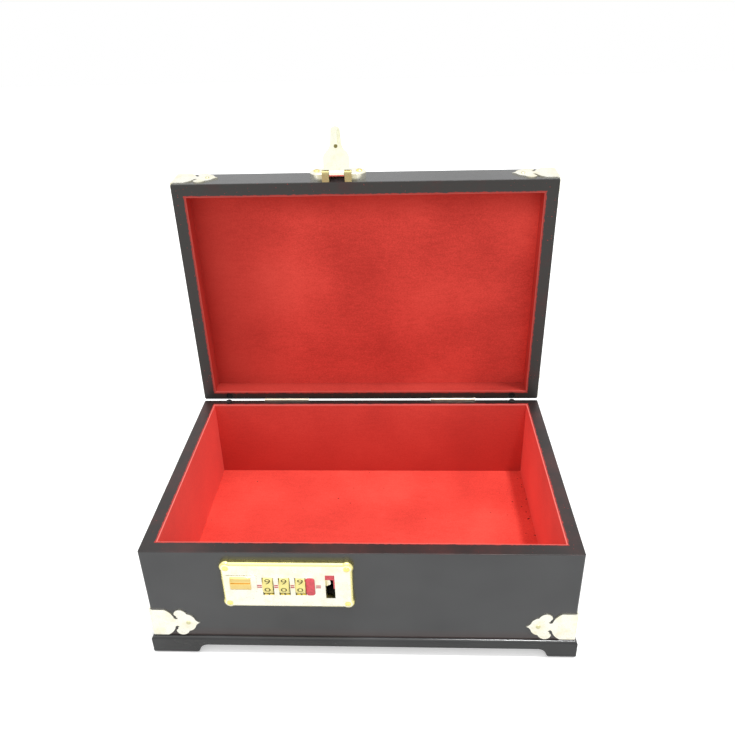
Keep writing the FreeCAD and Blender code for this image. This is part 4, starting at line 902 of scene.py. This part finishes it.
class DialNumerals(bpy.types.Operator):
    """Fill the numerals round the three dials"""
    bl_idname = "moneybox.dial_numerals"
    bl_label = "Dial numerals"

    def execute(self, context):
        sizes = context.scene.box_sizes
        enamel("numeral_fill", context.scene.box_colours.numeral, rough=0.5)
        for number in (1, 2, 3):
            name = f"dial_{number}"
            low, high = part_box(name)
            radius = (high.z - low.z) / 2
            axle = Vector(JOINTS[name + "_turn"]["pos_m"])
            numerals = [self.numeral(digit, sizes.numeral_height, radius, axle) for digit in range(10)]
            piece = join(numerals, name + "_numerals")
            fill_in = piece.modifiers.new("Fill", "SOLIDIFY")
            fill_in.thickness = sizes.numeral_proud + sizes.numeral_depth
            fill_in.offset = (sizes.numeral_proud - sizes.numeral_depth) / fill_in.thickness
            apply_all(piece)
            finish_piece(piece, f"dial_wheel_{number}", "dial_brass", "numeral_fill")
        return {"FINISHED"}

    def numeral(self, digit, tall, radius, axle):
        """One flat numeral bent round the dial; nine and nought stand each side of the index line."""
        bpy.ops.object.text_add()
        text = new_part("numeral")
        text.data.body = str(digit)
        text.data.size = tall / FIGURE_HEIGHT
        text.data.align_x = "CENTER"
        text.data.align_y = "CENTER"
        bpy.ops.object.convert(target="MESH")
        bands = range(1 - FIGURE_BANDS // 2, FIGURE_BANDS // 2)
        slice_across(text, Vector((0, 1, 0)), [band * tall / FIGURE_BANDS for band in bands])
        turn = NUMERAL_TURN + digit * math.tau / 10
        for vertex in text.data.vertices:
            bend = vertex.co.y / radius - turn
            out = Vector((NUMERAL_WIDTH * vertex.co.x, -radius * math.cos(bend), radius * math.sin(bend)))
            vertex.co = axle + out
        return text


# Index lines: how far they keep from the dials and the knob, and how far they reach past the button
INDEX_MARGIN = 0.75 * MM
INDEX_FROM_KNOB = 4.0 * MM
INDEX_PAST_BUTTON = 4.2 * MM


class IndexMarks(bpy.types.Operator):
    """Paint the red index lines on the lock plate"""
    bl_idname = "moneybox.index_marks"
    bl_label = "Index marks"

    def execute(self, context):
        sizes = context.scene.box_sizes
        dials = [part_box(f"dial_{number}") for number in (1, 2, 3)]
        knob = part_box("release_knob")[1].x
        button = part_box("code_button")[1].x
        lefts = [knob + INDEX_FROM_KNOB] + [dial[1].x + INDEX_MARGIN for dial in dials[:2]]
        spans = [(left, dial[0].x - INDEX_MARGIN) for left, dial in zip(lefts, dials)]
        spans.append((button + INDEX_MARGIN, button + INDEX_PAST_BUTTON))
        bars = [self.bar(left, right, LOCK_Z + side * sizes.index_gap, sizes)
                for left, right in spans for side in (-0.5, 0.5)]
        piece = join(bars, "index_lines")
        enamel("red_index_enamel", context.scene.box_colours.enamel, rough=0.4)
        finish_piece(piece, "case", "red_plastic", "red_index_enamel")
        return {"FINISHED"}

    def bar(self, left, right, level, sizes):
        """One painted line, with its ends rounded off."""
        half = Vector(((right - left) / 2, sizes.index_proud, sizes.index_bar / 2))
        middle = Vector(((left + right) / 2, PLATE_Y, level))
        return soften(block("index_line", middle - half, middle + half), 0.35 * sizes.index_proud)


# The setting button: the lips above and below its face that keep it behind the plate, and its bezel
BUTTON_LIP = Vector((0.0, 0.0, 1.2)) * MM
BUTTON_CORNER = 1.9 * MM
BEZEL_ROOM = Vector((0.15, 0.0, 0.15)) * MM
BEZEL_EDGE = Vector((0.9, 0.0, 0.9)) * MM
BEZEL_FRONT, BEZEL_BACK = PLATE_Y - 0.12 * MM, PLATE_Y + 0.1 * MM
BEZEL_LEFT = 0.05 * MM
HOLE_CORNER = 2.0 * MM
BEZEL_CORNER = 0.6 * MM


class SettingButton(bpy.types.Operator):
    """Round the red setting button and frame it with a thin bezel"""
    bl_idname = "moneybox.setting_button"
    bl_label = "Setting button"

    def execute(self, context):
        low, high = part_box("code_button")
        low, high = low + BUTTON_LIP, high - BUTTON_LIP
        button = self.tablet("round_setting_button", low, high, BUTTON_CORNER)
        soften(button, 0.35 * MM, segments=3)
        enamel("red_setting_button", context.scene.box_colours.button, rough=0.35)
        finish_piece(button, "setting_button", "red_plastic", "red_setting_button", "code_button")
        finish_piece(self.bezel(low, high), "case", "cast_brass", "slide_brass")
        return {"FINISHED"}

    def bezel(self, button_low, button_high):
        """A thin frame round the button; on its left it stops short of the last dial."""
        low, high = button_low - BEZEL_ROOM, button_high + BEZEL_ROOM
        hole = self.tablet("bezel_hole", (low.x, BEZEL_FRONT - MM, low.z), (high.x, BEZEL_BACK + MM, high.z),
                           HOLE_CORNER)
        low, high = low - BEZEL_EDGE, high + BEZEL_EDGE
        bezel = self.tablet("button_bezel", (button_low.x - BEZEL_LEFT, BEZEL_FRONT, low.z),
                            (high.x, BEZEL_BACK, high.z), BEZEL_CORNER)
        return soften(carve(bezel, hole), 0.05 * MM, segments=1)

    def tablet(self, name, low, high, corner):
        """A flat block that faces the front, with its four corners rounded."""
        item = block(name, low, high)
        points = item.data.vertices

        def runs_back(edge):
            one, other = (points[index].co for index in edge.vertices)
            return abs(one.x - other.x) < HAIR and abs(one.z - other.z) < HAIR

        pick(item, "EDGE", item.data.edges, runs_back)
        bpy.ops.mesh.bevel(offset=corner, segments=6, affect="EDGES")
        mode("OBJECT")
        return item


# The knob's side from below: share of its height, and millimetres behind its front
KNOB_SIDE = [(0.0, 1.6), (0.1, 0.5), (0.2, 0.1), (0.58, 0.0), (0.6, 1.8), (0.66, 1.8), (0.68, 0.0),
             (0.9, 1.1), (1.0, 2.6)]

# The slide plate behind the knob: its faces, and how far it reaches past the knob
SLIDE_FRONT, SLIDE_BACK = PLATE_Y - 0.6 * MM, PLATE_Y - 0.2 * MM
SLIDE_LEFT = 3.2 * MM
SLIDE_RIGHT = 3.9 * MM
SLIDE_OVER = 0.6 * MM


class ReleaseKnob(bpy.types.Operator):
    """Shape the grooved release knob and the slide plate that covers its window"""
    bl_idname = "moneybox.release_knob"
    bl_label = "Release knob"

    def execute(self, context):
        low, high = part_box("release_knob")
        knob = soften(self.grooved(low, high), 0.25 * MM)
        finish_piece(knob, "release_slide", "cast_brass", "gilded_knob", "release_knob")
        plate = block("knob_slide_plate", (low.x - SLIDE_LEFT, SLIDE_FRONT, low.z - SLIDE_OVER),
                      (high.x + SLIDE_RIGHT, SLIDE_BACK, high.z + SLIDE_OVER))
        soften(plate, 0.15 * MM)
        finish_piece(plate, "release_slide", "cast_brass", "slide_brass")
        return {"FINISHED"}

    def grooved(self, low, high):
        """A block with a finger groove along it."""
        knob = block("grooved_release_knob", low, high)
        tall = high.z - low.z
        slice_across(knob, Vector((0, 0, 1)), [low.z + share * tall for share, _ in KNOB_SIDE[1:-1]])
        for vertex in knob.data.vertices:
            if vertex.co.y < low.y + HAIR:
                share = (vertex.co.z - low.z) / tall
                vertex.co.y += min(KNOB_SIDE, key=lambda level: abs(level[0] - share))[1] * MM
        return knob


# The hasp's bed between its lugs, a dark strip of painted shade, with the lid closed
BED_HALF = 5.9 * MM
BED_LOW, BED_TOP = LID_Z + 0.2 * MM, LID_Z + 9.7 * MM
BED_PROUD = 0.35 * MM
BED_SUNK = 0.1 * MM
BED_END_THICK = 0.4 * MM
BED_END_FRONT = FRONT_Y - HASP_THICK + 0.3 * MM

# The staple's rivet: the hasp's pin before the box, the flap before the lock, the rivet below the pin
PIN_OUT = 6.4 * MM
FLAP_CLEAR = 0.5 * MM
RIVET_DROP = 20.2 * MM

# The red flag in the lock plate's slot
FLAG_FRONT, FLAG_BACK = PLATE_Y + 0.4 * MM, PLATE_Y + 0.9 * MM
FLAG_HALF = 3.25 * MM
FLAG_TOP = LOCK_Z + 10.45 * MM
FLAG_STEP = LOCK_Z + 5.8 * MM
FLAG_FOOT = LOCK_Z - 2.2 * MM
LEG_FROM = 2.2 * MM
LEG_TOP = FLAG_STEP + 0.5 * MM


class HaspDetails(bpy.types.Operator):
    """Lay a dark strip of painted shade under the hasp's knuckle, rivet its staple and hang the red flag in
    its slot
    """
    bl_idname = "moneybox.hasp_details"
    bl_label = "Hasp details"

    def execute(self, context):
        self.bed(context.scene.box_colours.bed)
        self.rivet()
        self.flag()
        return {"FINISHED"}

    def bed(self, shade):
        """A dark strip between the hasp's lugs: painted shade."""
        left, right = HASP_PIVOT.x - BED_HALF, HASP_PIVOT.x + BED_HALF
        strip = block("hasp_bed", (left, FRONT_Y - BED_PROUD, BED_LOW), (right, FRONT_Y + BED_SUNK, BED_TOP))
        end = block("hasp_bed_end", (left, BED_END_FRONT, BED_TOP - BED_END_THICK), (right, FRONT_Y, BED_TOP))
        bed = join([soften(item, 0.1 * MM) for item in (strip, end)], "hasp_bed")
        bed.data.transform(OPEN_LID)
        enamel("hasp_bed_painted_shade", shade, rough=0.6)
        finish_piece(bed, "lid", "black_lacquer", "hasp_bed_painted_shade")

    def rivet(self):
        """The round head of the staple's rivet, on the side of the flap that meets the lock."""
        inner = PLATE_Y - FLAP_CLEAR - (FRONT_Y - PIN_OUT)
        rivet = dome("staple_rivet", 1.4 * MM, 0.45 * MM, 0.1 * MM)
        raised = moved(HASP_PIVOT) @ Matrix.Rotation(-OPENING - HASP_FOLD, 4, "X")
        rivet.data.transform(raised @ moved((0.0, inner, -RIVET_DROP)) @ TO_BACK)
        finish_piece(rivet, "hasp", "cast_brass", "rivet_brass")

    def flag(self):
        """A red leaf at the upper end of the slot, with a leg beside the staple."""
        middle, right = HASP_PIVOT.x, HASP_PIVOT.x + FLAG_HALF
        leaf = block("red_slot_flag", (middle - FLAG_HALF, FLAG_FRONT, FLAG_STEP),
                     (right, FLAG_BACK, FLAG_TOP))
        leg = block("red_slot_leg", (middle + LEG_FROM, FLAG_FRONT, FLAG_FOOT), (right, FLAG_BACK, LEG_TOP))
        flag = join([soften(item, 0.12 * MM) for item in (leaf, leg)], "red_slot_flag")
        finish_piece(flag, "case", "red_plastic", "red_setting_button")


FLOOR_SPAN = 6.0
OVERHEAD_AIM = Vector((0.1, 0.3, -1.0))
KEY_AIM = Vector((-0.17, 0.12, -1.0))


class Stage(bpy.types.Operator):
    """Set the floor, the light and the camera"""
    bl_idname = "moneybox.stage"
    bl_label = "Stage"

    def execute(self, context):
        settings = context.scene.box_stage
        self.floor()
        self.room(context.scene, settings)
        self.sun("soft_overhead_light", settings.overhead, settings.softness, OVERHEAD_AIM)
        self.sun("key_light", settings.key, settings.key_softness, KEY_AIM)
        self.camera(context.scene, settings)
        context.scene.view_settings.view_transform = "Standard"
        return {"FINISHED"}

    def floor(self):
        """A wide sheet of paper."""
        bpy.ops.mesh.primitive_plane_add(size=FLOOR_SPAN)
        floor = new_part("studio_floor")
        floor.data.materials.append(glowing_paper("white_paper"))

    def room(self, scene, settings):
        """Even light all round; what the camera and bright metal see of the room is plain white."""
        world = bpy.data.worlds.new("white_room")
        world.use_nodes = True
        tree = world.node_tree
        seen = node(tree, "ShaderNodeLightPath").outputs
        direct = reckon(tree, "MAXIMUM", seen["Is Camera Ray"], seen["Is Glossy Ray"])
        direct = reckon(tree, "MAXIMUM", direct, seen["Is Transmission Ray"])
        strength = between(tree, direct, 0.0, 1.0, settings.ambient, 1.0)
        connect(tree, tree.nodes["Background"], {"Color": WHITE, "Strength": strength})
        scene.world = world

    def sun(self, name, strength, softness, direction):
        """A soft light from above that shines along a direction."""
        bpy.ops.object.light_add(type="SUN", location=(0.0, 0.0, 1.0))
        lamp = new_part(name)
        lamp.data.energy = strength
        lamp.data.angle = softness
        lamp.rotation_euler = direction.to_track_quat("-Z", "Y").to_euler()

    def camera(self, scene, settings):
        """Place the camera by its pitch, yaw and roll."""
        bpy.ops.object.camera_add()
        camera = new_part("camera")
        pitch, yaw = settings.pitch, settings.yaw
        flat = math.cos(pitch)
        ahead = Vector((math.sin(yaw) * flat, math.cos(yaw) * flat, -math.sin(pitch)))
        right = Vector((math.cos(yaw), -math.sin(yaw), 0))
        up = right.cross(ahead)
        lean = Matrix.Rotation(settings.roll, 3, -ahead)
        axes = Matrix((lean @ right, lean @ up, -ahead)).transposed().to_4x4()
        place = Vector((0.0, FRONT_Y, SEAM_Z)) + Vector(settings.camera)
        camera.matrix_world = moved(place) @ axes
        camera.data.lens = settings.lens
        camera.data.clip_start = 0.01
        scene.camera = camera


class MoneyBoxPanel(bpy.types.Panel):
    """Steps that dress the money box"""
    bl_idname = "VIEW3D_PT_money_box"
    bl_label = "Money Box"
    bl_space_type = "VIEW_3D"
    bl_region_type = "UI"
    bl_category = "Money Box"

    def draw(self, context):
        for operator in OPERATORS:
            self.layout.operator(operator.bl_idname)


GROUPS = {"box_colours": BoxColours, "box_sizes": BoxSizes, "box_stage": StageSettings}
OPERATORS = (LacquerBoards, FlockLinings, BrassFittings, SteelPieces, BracketVeins, Screws, StopButtons,
             DialNumerals, IndexMarks, SettingButton, ReleaseKnob, HaspDetails, Stage)
CLASSES = (*GROUPS.values(), *OPERATORS, MoneyBoxPanel)


def register():
    for item in CLASSES:
        bpy.utils.register_class(item)
    for name, group in GROUPS.items():
        setattr(bpy.types.Scene, name, bpy.props.PointerProperty(type=group))


def unregister():
    for name in GROUPS:
        delattr(bpy.types.Scene, name)
    for item in reversed(CLASSES):
        bpy.utils.unregister_class(item)


def main():
    register()
    bpy.ops.moneybox.lacquer_boards()
    bpy.ops.moneybox.flock_linings()
    bpy.ops.moneybox.brass_fittings()
    bpy.ops.moneybox.steel_pieces()
    bpy.ops.moneybox.bracket_veins()
    bpy.ops.moneybox.screws()
    bpy.ops.moneybox.stop_buttons()
    bpy.ops.moneybox.dial_numerals()
    bpy.ops.moneybox.index_marks()
    bpy.ops.moneybox.setting_button()
    bpy.ops.moneybox.release_knob()
    bpy.ops.moneybox.hasp_details()
    bpy.ops.moneybox.stage()


if __name__ == "__main__":
    main()
